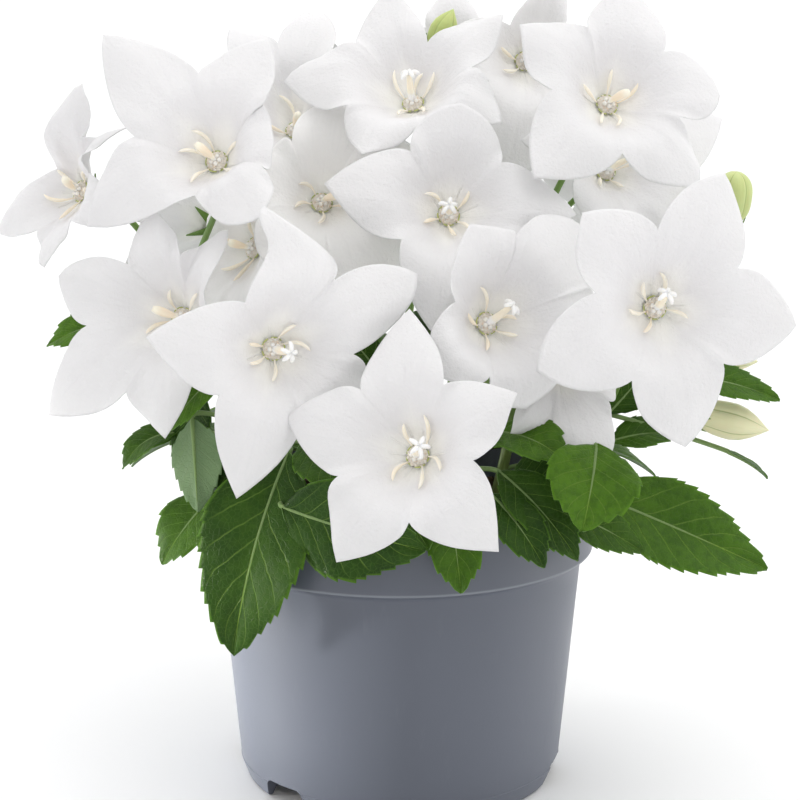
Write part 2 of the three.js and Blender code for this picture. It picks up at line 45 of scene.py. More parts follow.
# Vectors scaled to the length 1
def unit(v):
    return v / np.maximum(np.linalg.norm(v, axis=-1, keepdims=True), 1e-9)


# 0 up to low, 1 from high on, and 3 t^2 - 2 t^3 between them
def smooth(low, high, x):
    t = np.clip((x - low) / (high - low), 0, 1)
    return t * t * (3 - 2 * t)


# Even angles of a full turn
def roundAngles(count):
    return np.arange(count) * 2 * math.pi / count


# Points at a distance from the Z axis and at a height, for each angle
def rings(r, z, angle):
    return np.stack([r * np.cos(angle), r * np.sin(angle), z + 0 * angle], -1)


# Points turned about the Z axis
def swung(x, y, z, angle):
    cos, sin = math.cos(angle), math.sin(angle)
    return np.stack([x * cos - y * sin, x * sin + y * cos, z], -1)


# A curve drawn by control points: each counts by the share C(n, k) t^k (1 - t)^(n - k)
def bezier(t, *controls):
    t = np.asarray(t, float)[..., None]
    n = len(controls) - 1
    return sum(math.comb(n, k) * t ** k * (1 - t) ** (n - k) * np.asarray(point, float)
               for k, point in enumerate(controls))


# The slope of a curve with three control points: twice the curve drawn by their differences
def bezierSlope(t, a, b, c):
    a, b, c = (np.asarray(point, float) for point in (a, b, c))
    return 2 * bezier(t, b - a, c - b)


# One part, its arrays brought into shape
def part(points, quads, tris, **values):
    points = np.asarray(points, float).reshape(-1, 3)
    quads = np.asarray(quads, int).reshape(-1, 4)
    tris = np.asarray(tris, int).reshape(-1, 3)
    return {"points": points, "quads": quads, "tris": tris, "values": values}


# Quads of a grid that face the side where columns turned into rows point
def gridQuads(rows, columns, closed):
    r = np.arange(rows - 1)[:, None]
    c = np.arange(columns if closed else columns - 1)[None, :]
    d = (c + 1) % columns
    return np.stack([r * columns + c, r * columns + d, (r + 1) * columns + d, (r + 1) * columns + c], -1)


# A surface closed round its columns and shut by a point at each end
def closedTube(grid, start, end, **values):
    rows, columns = grid.shape[:2]
    c = np.arange(columns)
    d = (c + 1) % columns
    first, last = rows * columns, rows * columns + 1
    low = (rows - 1) * columns
    tris = np.concatenate([
        np.stack([np.full(columns, first), d, c], -1),
        np.stack([np.full(columns, last), low + c, low + d], -1),
    ])
    points = np.concatenate([grid.reshape(-1, 3), np.asarray([start, end], float)])
    for key, value in values.items():
        value = np.broadcast_to(value, (rows, columns))
        values[key] = np.append(value, [value[0].mean(), value[-1].mean()])
    return part(points, gridQuads(rows, columns, True), tris, **values)


# A sheet of a given thickness round a grid: both faces, with rims at the open edges. A pole shuts
# the first row of each face with a point.
def sheet(grid, thickness, closed=False, pole=None, **values):
    rows, columns = grid.shape[:2]
    across = np.roll(grid, -1, 1) - np.roll(grid, 1, 1) if closed else np.gradient(grid, axis=1)
    normal = unit(np.cross(across, np.gradient(grid, axis=0)))
    half = normal * np.broadcast_to(thickness, (rows, columns))[..., None] / 2
    count = rows * columns
    quads = gridQuads(rows, columns, closed).reshape(-1, 4)
    c = np.arange(columns if closed else columns - 1)
    d = (c + 1) % columns
    edge = (rows - 1) * columns
    rim = np.stack([edge + c, edge + d, edge + d + count, edge + c + count], -1)
    faces = [quads, quads[:, ::-1] + count, rim]
    points = [(grid + half).reshape(-1, 3), (grid - half).reshape(-1, 3)]
    if pole is None:
        poles, tris = 0, []
        faces.append(np.stack([d, c, c + count, d + count], -1))
    else:
        poles = 2
        tris = np.concatenate([
            np.stack([np.full(len(c), 2 * count), d, c], -1),
            np.stack([np.full(len(c), 2 * count + 1), c + count, d + count], -1),
        ])
        lift = half[0].mean(0)
        points.append(np.stack([pole + lift, pole - lift]))
    if not closed:
        r = np.arange(rows - 1) * columns
        s = r + columns
        e = columns - 1
        faces.append(np.stack([r, s, s + count, r + count], -1))
        faces.append(np.stack([s + e, r + e, r + e + count, s + e + count], -1))
    for key, value in values.items():
        flat = np.broadcast_to(value, (rows, columns)).ravel()
        values[key] = np.concatenate([flat, flat, [flat[0]] * poles])
    values["upper"] = np.concatenate([np.ones(count), np.zeros(count), [1, 0][:poles]])
    return part(np.concatenate(points), np.concatenate(faces), tris, **values)


# A round tube along a path, with a radius at each of its points
def tube(path, radii, sides, **values):
    path = np.asarray(path, float)
    radii = np.broadcast_to(radii, len(path))
    along = unit(np.gradient(path, axis=0))
    flat = np.linalg.svd(path - path.mean(0))[2][2]  # the direction in which the path bends least
    across = unit(np.cross(flat, along))
    other = np.cross(along, across)
    angle = roundAngles(sides)
    ring = np.cos(angle)[None, :, None] * across[:, None] + np.sin(angle)[None, :, None] * other[:, None]
    grid = path[:, None] + radii[:, None, None] * ring
    lengths = np.concatenate([[0], np.cumsum(np.linalg.norm(np.diff(path, axis=0), axis=1))])
    values = {"u": angle / (2 * math.pi), "v": (lengths / 10)[:, None], **values}
    return closedTube(grid, path[0], path[-1], **values)


# A profile of radius and height turned about Z, from its first point on the axis to its last
def turned(profile, sides, **values):
    profile = np.asarray(profile, float)
    r, z = profile[1:-1].T[..., None]
    grid = rings(r, z, roundAngles(sides))
    return closedTube(grid, (0, 0, profile[0, 1]), (0, 0, profile[-1, 1]), **values)


# A frame at a place: out is the way it faces, and right and up lie across that
def frameAt(at, face):
    turn, climb = face[0] * degree, face[1] * degree
    out = np.array([math.cos(climb) * math.sin(turn), -math.cos(climb) * math.cos(turn), math.sin(climb)])
    right = np.array([math.cos(turn), math.sin(turn), 0.0])
    return {"at": np.asarray(at, float), "right": right, "up": np.cross(out, right), "out": out}


# Points given in a frame's right, up and out, moved to where the frame is
def placed(base, local):
    axes = np.stack([base["right"], base["up"], base["out"]])
    return base["at"] + np.asarray(local, float) @ axes


# A part moved as a whole into a frame
def moved(base, item):
    item["points"] = placed(base, item["points"])
    return item


# One mesh of many parts, with their values as attributes and the material, bound to the body, with the
# solids it stands for hidden. The name of its material slot is not used.
def addPiece(name, parts, material, slotName, *nodes, sharp=None):
    starts = np.cumsum([0] + [len(p["points"]) for p in parts])
    faces = [face for kind in ("quads", "tris") for p, start in zip(parts, starts)
             for face in (p[kind] + start).tolist()]
    mesh = bpy.data.meshes.new(name)
    mesh.from_pydata(np.concatenate([p["points"] for p in parts]) * mm, [], faces)
    columns = {}
    for key in sorted({key for p in parts for key in p["values"]}):
        columns[key] = np.concatenate([np.broadcast_to(p["values"].get(key, 0.0), len(p["points"]))
                                       for p in parts])
    if "u" in columns:
        uv = np.stack([columns.pop("u"), columns.pop("v")], -1)[np.concatenate(faces)]
        mesh.uv_layers.new(name="UVMap").data.foreach_set("uv", uv.astype(np.float32).ravel())
    for key, value in columns.items():
        mesh.attributes.new(key, "FLOAT", "POINT").data.foreach_set("value", value.astype(np.float32))
    mesh.update(calc_edges=True)
    mesh.validate()
    mesh.shade_smooth()
    if sharp:
        mesh.set_sharp_from_angle(angle=sharp * degree)
    mesh.materials.append(material)
    piece = bpy.data.objects.new(name, mesh)
    bpy.context.scene.collection.objects.link(piece)
    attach(piece, "root")
    if nodes:
        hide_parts(*nodes)
    return piece


# Materials

# Puts nodes into the tree of a material or a world and joins them
class Wiring:
    def __init__(self, owner):
        owner.use_nodes = True
        self.owner = owner
        self.tree = owner.node_tree

    # A value for a socket: what another socket gives, a colour or a number
    def put(self, socket, value):
        if isinstance(value, bpy.types.NodeSocket):
            self.tree.links.new(value, socket)
        elif socket.type == "RGBA":
            socket.default_value = (*value, 1)
        else:
            socket.default_value = value

    # A new node with its settings and what its inputs get
    def node(self, kind, settings=None, **inputs):
        made = self.tree.nodes.new(kind)
        for key, value in (settings or {}).items():
            setattr(made, key, value)
        for key, value in inputs.items():
            self.put(made.inputs[key.replace("_", " ")], value)
        return made

    def math(self, operation, *values):
        made = self.node("ShaderNodeMath", {"operation": operation})
        for socket, value in zip(made.inputs, values):
            self.put(socket, value)
        return made.outputs[0]

    def times(self, a, b):
        return self.math("MULTIPLY", a, b)

    # Runs smoothly from outLow to outHigh while the value goes from low to high
    def ramp(self, value, low, high, outLow=0.0, outHigh=1.0):
        return self.node("ShaderNodeMapRange", {"interpolation_type": "SMOOTHSTEP"}, Value=value,
                         From_Min=low, From_Max=high, To_Min=outLow, To_Max=outHigh).outputs["Result"]

    # Colour a where the share is 0 and b where it is 1
    def mix(self, share, a, b):
        made = self.node("ShaderNodeMix", {"data_type": "RGBA"}, Factor=share)
        self.put(made.inputs[6], a)     # its sockets for colours: 6, 7 and, out of it, 2
        self.put(made.inputs[7], b)
        return made.outputs[2]

    # A colour laid over the base by a share times an amount
    def tint(self, base, share, amount, colour):
        return self.mix(self.times(share, amount), base, colour)

    def place(self):
        return self.node("ShaderNodeTexCoord").outputs["Object"]

    # Places scaled along the axes, which draws a noise out into fibres
    def stretched(self, scale):
        return self.node("ShaderNodeMapping", Vector=self.place(), Scale=scale).outputs[0]

    def split(self, vector):
        return tuple(self.node("ShaderNodeSeparateXYZ", Vector=vector).outputs)

    def uv(self):
        return self.split(self.node("ShaderNodeUVMap").outputs["UV"])[:2]

    # Noise at a scale per metre, with so many finer layers
    def noise(self, scale, detail=3.0, roughness=0.55, vector=None, distortion=0.0):
        return self.node("ShaderNodeTexNoise", Vector=vector or self.place(), Scale=scale, Detail=detail,
                         Roughness=roughness, Distortion=distortion).outputs["Fac"]

    # Noise drawn out along v: so many streaks across and so many lengths along
    def streaks(self, across, along, roughness=0.5, distortion=0.0):
        u, v = self.uv()
        drawn = self.node("ShaderNodeCombineXYZ", X=self.times(u, across), Y=self.times(v, along))
        return self.noise(1.0, 3, roughness, drawn.outputs[0], distortion)

    # A value that the points of a piece hold
    def value(self, name):
        return self.node("ShaderNodeAttribute", {"attribute_name": name}).outputs["Fac"]

    def bump(self, height, strength, distance, **normal):
        return self.node("ShaderNodeBump", Strength=strength, Distance=distance, Height=height,
                         **normal).outputs["Normal"]

    # Joins colour, roughness and bumps to the shader and sets its constants
    def finish(self, colour, roughness, normal=None, **fixed):
        sockets = self.tree.nodes["Principled BSDF"].inputs
        self.put(sockets["Base Color"], colour)
        self.put(sockets["Roughness"], roughness)
        if normal is not None:
            self.put(sockets["Normal"], normal)
        for key, value in fixed.items():
            self.put(sockets[key.replace("_", " ")], value)
        return self.owner


# A new material and the wiring of its nodes
def wire(name):
    return Wiring(bpy.data.materials.new(name))


# Clouded white with faint streaks, cream at the throat and grey at the rim, over a fine grain. The throat's
# light cream is partly its own colour and partly painted light against the shade in the bowl.
def petalMaterial():
    w = wire("petalWhite")
    v = w.uv()[1]                       # from the throat to the edge
    grain = w.noise(980, 4, 0.62)
    streak = w.streaks(90.0, 2.2, 0.55, 0.4)
    plain = w.mix(w.noise(70, 2, 0.5), (0.735, 0.725, 0.735), (0.790, 0.780, 0.790))
    # pale paints a bloom whiter: painted light for blooms that sit in shade among the others
    white = w.mix(w.value("pale"), plain, (0.93, 0.91, 0.90))
    veined = w.tint(white, w.ramp(streak, 0.52, 0.75), 0.10, (0.64, 0.635, 0.66))
    # Cream at the throat, lighter than the petal: partly its own colour and partly painted light that lifts
    # the bowl's shade
    litCreamThroat = w.tint(veined, w.ramp(v, 0.02, 0.34, 1.0, 0.0), 0.75, (0.95, 0.94, 0.89))
    colour = w.tint(litCreamThroat, w.ramp(v, 0.90, 1.0), 0.10, (0.84, 0.84, 0.85))
    ridged = w.bump(streak, 0.45, 0.0004, Normal=w.bump(grain, 0.65, 0.0005))
    return w.finish(colour, w.ramp(grain, 0.2, 0.8, 0.50, 0.62), ridged,
                    Specular_IOR_Level=0.35, Subsurface_Weight=0.50, Subsurface_Scale=0.0011,
                    Subsurface_Radius=(1.0, 1.0, 1.0))


# Dark to light green by tone, partly the leaf's own green and partly painted shade and light for how lit each
# leaf is, with a pale midrib, side veins that slant forwards, a net between them and a pale rim. The under
# side is dull and paler.
def leafMaterial():
    w = wire("leafGreen")
    u, v = w.uv()                       # u runs across from -1 to 1, v from the base to the tip
    side = w.math("ABSOLUTE", u)
    slant = w.times(w.math("POWER", side, 0.85), leafSetup["veinSlant"])
    row = w.times(w.math("SUBTRACT", v, slant), leafSetup["veins"])
    jitter = w.times(w.math("SUBTRACT", w.noise(160, 2), 0.5), 0.30)
    phase = w.math("FRACT", w.math("ADD", row, jitter))
    near = w.times(w.math("ABSOLUTE", w.math("SUBTRACT", phase, 0.5)), 2.0)
    sideVein = w.times(w.ramp(near, 0.88, 0.99), w.ramp(side, 0.98, 0.55))
    veins = w.math("MAXIMUM", w.times(sideVein, 0.48), w.ramp(side, 0.030, 0.012))
    netCells = w.node("ShaderNodeTexVoronoi", {"feature": "DISTANCE_TO_EDGE"}, Vector=w.place(), Scale=640.0)
    net = w.ramp(netCells.outputs["Distance"], 0.0, 0.12, 1.0, 0.0)
    blotch = w.noise(60, 3)
    # The near-black greens are partly painted shade for leaves deep in the plant, and the light greens partly
    # painted light
    dark = w.mix(w.ramp(blotch, 0.35, 0.65), (0.005, 0.021, 0.003), (0.020, 0.056, 0.005))
    light = w.mix(blotch, (0.060, 0.155, 0.008), (0.105, 0.225, 0.015))
    green = w.mix(w.value("tone"), dark, light)
    blade = w.tint(green, w.ramp(w.noise(330, 4, 0.65), 0.42, 0.62), 0.35, (0.014, 0.050, 0.004))
    netted = w.tint(blade, net, 0.14, (0.10, 0.20, 0.035))
    rimmed = w.tint(netted, w.ramp(side, 0.90, 1.0), 0.45, (0.13, 0.28, 0.02))
    top = w.tint(rimmed, veins, 0.65, (0.22, 0.36, 0.06))
    under = w.tint(w.mix(blotch, (0.13, 0.21, 0.10), (0.18, 0.27, 0.13)), veins, 0.5, (0.28, 0.36, 0.18))
    height = w.math("SUBTRACT", w.times(w.noise(420, 4), 0.35), w.times(veins, 0.8))
    netHeight = w.math("SUBTRACT", height, w.times(net, 0.20))
    return w.finish(w.mix(w.value("upper"), under, top), w.ramp(w.noise(240, 2), 0.2, 0.8, 0.36, 0.48),
                    w.bump(netHeight, 0.6, 0.0006), Specular_IOR_Level=0.14, Subsurface_Weight=0.06,
                    Subsurface_Scale=0.0012, Subsurface_Radius=(0.4, 1.0, 0.15))


# Streaked green that turns woody near the soil
def stemMaterial():
    w = wire("stemGreen")
    streak = w.streaks(26.0, 1.2)
    green = w.mix(w.noise(90, 2), (0.10, 0.20, 0.035), (0.17, 0.29, 0.06))
    woody = w.mix(w.ramp(w.split(w.place())[2], 0.085, 0.13, 0.55, 0.0), green, (0.10, 0.075, 0.03))
    colour = w.tint(woody, w.ramp(streak, 0.45, 0.7), 0.35, (0.24, 0.36, 0.10))
    return w.finish(colour, 0.45, w.bump(streak, 0.4, 0.0003), Specular_IOR_Level=0.4)


# From one colour at the base to another at the point, streaked, paler by tone, green along five seams
def budMaterial(name, low, high):
    w = wire(name)
    u, v = w.uv()                       # u runs round the bud, v from its base to its point
    seam = w.math("ABSOLUTE", w.math("SINE", w.times(u, 5 * math.pi)))
    streak = w.streaks(40.0, 2.0)
    body = w.mix(w.math("ADD", w.times(v, 0.5), w.times(w.noise(110, 2), 0.5)), low, high)
    pale = w.tint(body, w.value("tone"), 0.5, (0.84, 0.82, 0.60))
    veined = w.tint(pale, w.ramp(streak, 0.5, 0.75), 0.30, low)
    colour = w.tint(veined, w.ramp(seam, 0.16, 0.02), 0.6, (0.28, 0.36, 0.09))
    return w.finish(colour, 0.42, w.bump(streak, 0.3, 0.0003), Specular_IOR_Level=0.4,
                    Subsurface_Weight=0.15, Subsurface_Scale=0.002)


# Four colours by tone, 0 the olive ring, 0.35 peach, 0.7 cream and 1 white, under a fuzz
def centreMaterial():
    w = wire("bloomCentre")
    tone = w.value("tone")
    fuzz = w.noise(1500, 3, 0.6)
    peach = w.mix(w.ramp(tone, 0.05, 0.30), (0.47, 0.53, 0.18), (0.97, 0.79, 0.61))
    cream = w.mix(w.ramp(tone, 0.36, 0.68), peach, (1.0, 0.91, 0.77))
    white = w.mix(w.ramp(tone, 0.72, 0.98), cream, (0.99, 0.98, 0.95))
    colour = w.tint(white, w.ramp(fuzz, 0.35, 0.6), 0.07, w.mix(0.6, white, (0.78, 0.64, 0.42)))
    return w.finish(colour, 0.6, w.bump(fuzz, 0.4, 0.0004), Specular_IOR_Level=0.3,
                    Subsurface_Weight=0.5, Subsurface_Scale=0.0014, Subsurface_Radius=(1.0, 0.9, 0.75),
                    Sheen_Weight=0.2, Sheen_Roughness=0.6)


# Hazy blue-grey plastic with upright scuffs. A thin pale line along the band's lower edge is a painted
# highlight.
def potMaterial():
    w = wire("potPlastic")
    haze = w.noise(30, 2, 0.5)
    scuff = w.noise(260, 4, 0.65, w.stretched((1.0, 1.0, 0.16)))
    grey = w.mix(haze, (0.094, 0.105, 0.133), (0.104, 0.116, 0.147))
    dusty = w.tint(grey, w.ramp(scuff, 0.60, 0.80), 0.14, (0.19, 0.20, 0.23))
    height = w.split(w.place())[2]
    # Painted highlight: a thin pale line just over the band's bottom, where its rounded edge catches light
    edge = w.times(w.ramp(height, 0.0727, 0.0731), w.ramp(height, 0.0735, 0.0740, 0.55, 0.0))
    rough = w.math("ADD", w.ramp(haze, 0.2, 0.8, 0.36, 0.46), w.times(w.ramp(scuff, 0.55, 0.8), 0.10))
    speck = w.bump(w.noise(1800, 3, 0.6), 0.12, 0.0002)
    return w.finish(w.mix(edge, dusty, (0.25, 0.27, 0.30)), rough, speck, Specular_IOR_Level=0.5)


# Coarse dark brown with lighter fibres and lighter crumbs by tone
def soilMaterial():
    w = wire("peatSoil")
    fibre = w.noise(700, 4, 0.6, w.stretched((1.0, 0.25, 0.6)))
    brown = w.mix(w.noise(110, 4, 0.6), (0.016, 0.010, 0.006), (0.060, 0.037, 0.022))
    lighter = w.tint(brown, w.ramp(fibre, 0.58, 0.72), 0.7, (0.16, 0.10, 0.055))
    colour = w.tint(lighter, w.value("tone"), 0.6, (0.20, 0.13, 0.075))
    return w.finish(colour, 0.92, w.bump(w.noise(420, 6, 0.7), 0.9, 0.0012), Specular_IOR_Level=0.2)


# Nearly white, with a faint grain
def floorMaterial():
    w = wire("paleFloor")
    colour = w.tint(lightSetup["floorColour"], w.noise(900, 3), 0.04, (0.88, 0.88, 0.90))
    return w.finish(colour, 0.75, Specular_IOR_Level=0.2)


# Pot

potSetup = {
    "height": 94.0,
    "rimRadius": 60.0,
    "footRadius": 50.0,
    "wall": 1.6,
    "bandBottom": 73.0,
    "bandStep": 3.3,     # how far the band stands out from the wall
    "seamHeight": 5.8,
    "notchCount": 6,
    "notchFirstAngle": 15.5,
    "notchWidth": 15.5,
    "notchHeight": 6.8,
    "notchCorner": 2.5,
    "notchFlare": 2.4,   # how much further out each side of a notch starts below the foot
    "recessDepth": 3.0,
    "lipRadius": 1.1,
    "sharp": 38,         # degrees from which an edge is shaded as sharp
    "sides": 180,
}


# The wall's outer radius at a height: straight from the foot to the step under the band
def potRadiusOut(z):
    p = potSetup
    return p["footRadius"] + (p["rimRadius"] - p["bandStep"] - p["footRadius"]) * z / p["bandBottom"]


# The wall's inner radius at a height
def potRadiusIn(z):
    return potRadiusOut(z) - potSetup["wall"]


# A rounded corner in a profile: points on an arc from one direction to the other
def corner(centre, radius, fromDegrees, toDegrees, steps=5):
    t = np.linspace(fromDegrees, toDegrees, steps) * degree
    return np.stack([centre[0] + radius * np.cos(t), centre[1] + radius * np.sin(t)], -1)


# The pot's profile runs from the underside's middle disc over the recess, foot, seam, wall, band and
# lip down the inside. The notches are then cut out of the foot.
def buildPot(material):
    p = potSetup
    top, rim, foot, recess = p["height"], p["rimRadius"], p["footRadius"], p["recessDepth"]
    band, seam, lip = p["bandBottom"], p["seamHeight"], p["lipRadius"]
    wallRows = np.linspace(seam + 0.5, band - 2.6, 14)
    profile = np.concatenate([
        [(0, 0), (6, 0), (11.6, 0)],
        [(12.0, 0.2), (13.6, recess - 0.3), (14.2, recess)],
        [(30, recess), (foot - 4.3, recess), (foot - 3.8, recess - 0.3), (foot - 3.2, 0.2), (foot - 2.8, 0)],
        corner((foot - 2.5, 1.6), 1.6, -90, -8),
        [(potRadiusOut(seam - 0.5) + 0.05, seam - 0.5), (potRadiusOut(seam) + 0.05, seam),
         (potRadiusOut(seam) - 0.10, seam + 0.2)],
        np.stack([potRadiusOut(wallRows) - 0.05, wallRows], -1),
        [(potRadiusOut(band) + 0.05, band - 2.0), (potRadiusOut(band) + 0.35, band - 1.6),
         (rim - 1.3, band - 0.2)],
        corner((rim - 0.9, band + 0.7), 0.9, -60, 0, 7),
        [(rim, band + 2), (rim, band + 6), (rim, band + 13), (rim, top - 1.2)],
        corner((rim - lip, top - lip), lip, 0, 90),
        [(rim - 2 * lip, top)],
        corner((potRadiusIn(top) + 0.9, top - 0.9), 0.9, 90, 180),
        [(potRadiusIn(z), z) for z in np.linspace(top - 3, recess + 3, 8)],
        [(potRadiusIn(5) - 1.0, 5), (20, 5), (0, 5)],
    ])
    body = turned(profile, p["sides"])
    piece = addPiece("pot_body", [body], material, "pot_plastic", "pot", sharp=p["sharp"])
    cutter = addPiece("notches", [notchBlock(k) for k in range(p["notchCount"])], material, "pot_plastic")
    cut = piece.modifiers.new("cut", "BOOLEAN")
    cut.operation = "DIFFERENCE"
    cut.solver = "EXACT"
    cut.object = cutter
    shape = bpy.data.meshes.new_from_object(piece.evaluated_get(bpy.context.evaluated_depsgraph_get()))
    piece.modifiers.clear()
    old = piece.data
    piece.data = shape
    bpy.data.meshes.remove(old)
    bpy.data.objects.remove(cutter)
    shape.shade_smooth()
    shape.set_sharp_from_angle(angle=p["sharp"] * degree)
    return piece


# The space of one notch in the foot: an arch with round corners, carried through the wall
def notchBlock(index):
    p = potSetup
    half, high, r = p["notchWidth"] / 2, p["notchHeight"], p["notchCorner"]
    arch = np.concatenate([
        [(-half - p["notchFlare"], -1.5), (half + p["notchFlare"], -1.5)],
        corner((half - r, high - r), r, 20, 90, 9),
        corner((r - half, high - r), r, 90, 160, 9),
    ])
    inner, outer = 7 - p["footRadius"], -2 - p["footRadius"]
    grid = np.stack([np.insert(arch, 1, y, axis=1) for y in (inner, outer)])
    block = closedTube(grid, (0, inner, 1.5), (0, outer, 1.5))
    angle = (p["notchFirstAngle"] + 360 / p["notchCount"] * index) * degree
    block["points"] = swung(*block["points"].T, angle)
    return block


# Soil

soilSetup = {
    "top": 84.0,
    "floor": 6.0,
    "gap": 0.4,           # play between soil and pot
    "rings": 46,
    "sides": 120,
    "bumps": 1.1,         # how strongly the waves show
    "waves": (22, 13, 8, 5, 3.2, 2.2),
    "crumbs": 620,
    "crumbSize": (0.6, 2.1),
    "seed": 11,
}


# A low mound, rounded off at its edge, with bumps made of a few waves of different lengths
def soilHeight(x, y):
    s = soilSetup
    edge = potRadiusIn(s["top"]) - s["gap"]
    r = np.hypot(x, y)
    mound = s["top"] - 2.2 * smooth(edge - 9, edge, r) + 0.8 * smooth(30, 8, r)
    random = np.random.default_rng(s["seed"])
    bumps = np.zeros_like(x)
    for size in s["waves"]:
        a, b, c, d = random.uniform(0, 2 * math.pi, 4)
        turn = random.uniform(0, math.pi)
        p = (x * math.cos(turn) + y * math.sin(turn)) * 2 * math.pi / size
        q = (y * math.cos(turn) - x * math.sin(turn)) * 2 * math.pi / size
        bumps += np.sin(p + a + 0.7 * np.sin(q + b)) * np.cos(q + c + 0.6 * np.sin(p + d)) * size ** 0.6 / 5.0
    return mound + bumps * s["bumps"] * 0.45 * smooth(edge + 1, edge - 5, r)


# The soil's plug inside the pot, and loose crumbs half sunk in its top
def buildSoil(material):
    s = soilSetup
    angle = roundAngles(s["sides"])
    edge = potRadiusIn(s["top"] - 2) - s["gap"]
    radii = edge * np.linspace(1, 0.02, s["rings"])[:, None] ** 0.8
    x, y = radii * np.cos(angle), radii * np.sin(angle)
    wall = [rings(potRadiusIn(z) - s["gap"], z, angle) for z in (s["floor"], s["floor"] + 30, s["top"] - 8)]
    grid = np.concatenate([wall, np.stack([x, y, soilHeight(x, y)], -1)])
    middle = soilHeight(np.zeros(1), np.zeros(1))[0]
    parts = [closedTube(grid, (0, 0, s["floor"]), (0, 0, middle), tone=0.0)]
    random = np.random.default_rng(s["seed"] + 1)
    for _ in range(s["crumbs"]):
        r = (edge - 2.5) * math.sqrt(random.uniform())
        a = random.uniform(0, 2 * math.pi)
        size = random.uniform(*s["crumbSize"]) * random.uniform(0.6, 1.0, 3)
        turn = np.linalg.qr(random.normal(size=(3, 3)))[0]
        turn *= np.sign(np.linalg.det(turn))
        corners = ballPoints * (1 + random.uniform(-0.25, 0.25, (12, 1)))
        x, y = np.array([r * math.cos(a)]), np.array([r * math.sin(a)])
        spot = np.concatenate([x, y, soilHeight(x, y) + 0.1])
        parts.append(lump((corners * size) @ turn + spot, random.uniform() ** 3))
    return addPiece("soil_bed", parts, material, "soil", "soil")


# A small lump: a ball of twenty triangles, given by its twelve corners
golden = (1 + 5 ** 0.5) / 2
ballPoints = unit(np.array([
    (-1, golden, 0), (1, golden, 0), (-1, -golden, 0), (1, -golden, 0), (0, -1, golden), (0, 1, golden),
    (0, -1, -golden), (0, 1, -golden), (golden, 0, -1), (golden, 0, 1), (-golden, 0, -1), (-golden, 0, 1),
]))
ballTris = [(0, 11, 5), (0, 5, 1), (0, 1, 7), (0, 7, 10), (0, 10, 11), (1, 5, 9), (5, 11, 4), (11, 10, 2),
            (10, 7, 6), (7, 1, 8), (3, 9, 4), (3, 4, 2), (3, 2, 6), (3, 6, 8), (3, 8, 9), (4, 9, 5),
            (2, 4, 11), (6, 2, 10), (8, 6, 7), (9, 8, 1)]


# A lump by its twelve corners
def lump(points, tone):
    return part(points, [], ballTris, tone=tone)


# Blooms

bloomSetup = {
    "thickness": 0.42,
    "edgeThinning": 0.45,
    "throatRadius": 3.6,
    "reach": 36.0,
    "sinusShare": 0.5,
    "sinusMost": 0.76,
    "blunt": 0.15,
    "lean": 9,            # degrees by which a lobe may lean to a side
    "hinge": 0.42,        # share of a lobe's length from which its tip lifts
    "sinusOut": 1.13,     # how much further out the notches between lobes lie than in the plain form
    "cupDepth": 12.0,
    "tipCurl": 3.0,       # how far the tips droop
    "wall": 2.3,          # how much steeper the bowl's side is than a plain bowl's
    "sideRadius": 17.0,
    "sideBreadth": 6.5,
    "edgeRoll": 2.0,      # how far the lobes' sides roll back
    "rows": 26,
    "halfColumns": 13,    # columns on each side of a lobe's middle
    "ribDepth": 0.28,
    "throatFolds": 0.12,
    "ripple": 0.65,
    "seatGap": 0.35,      # between a bloom and its green cup
    "seed": 5,
}
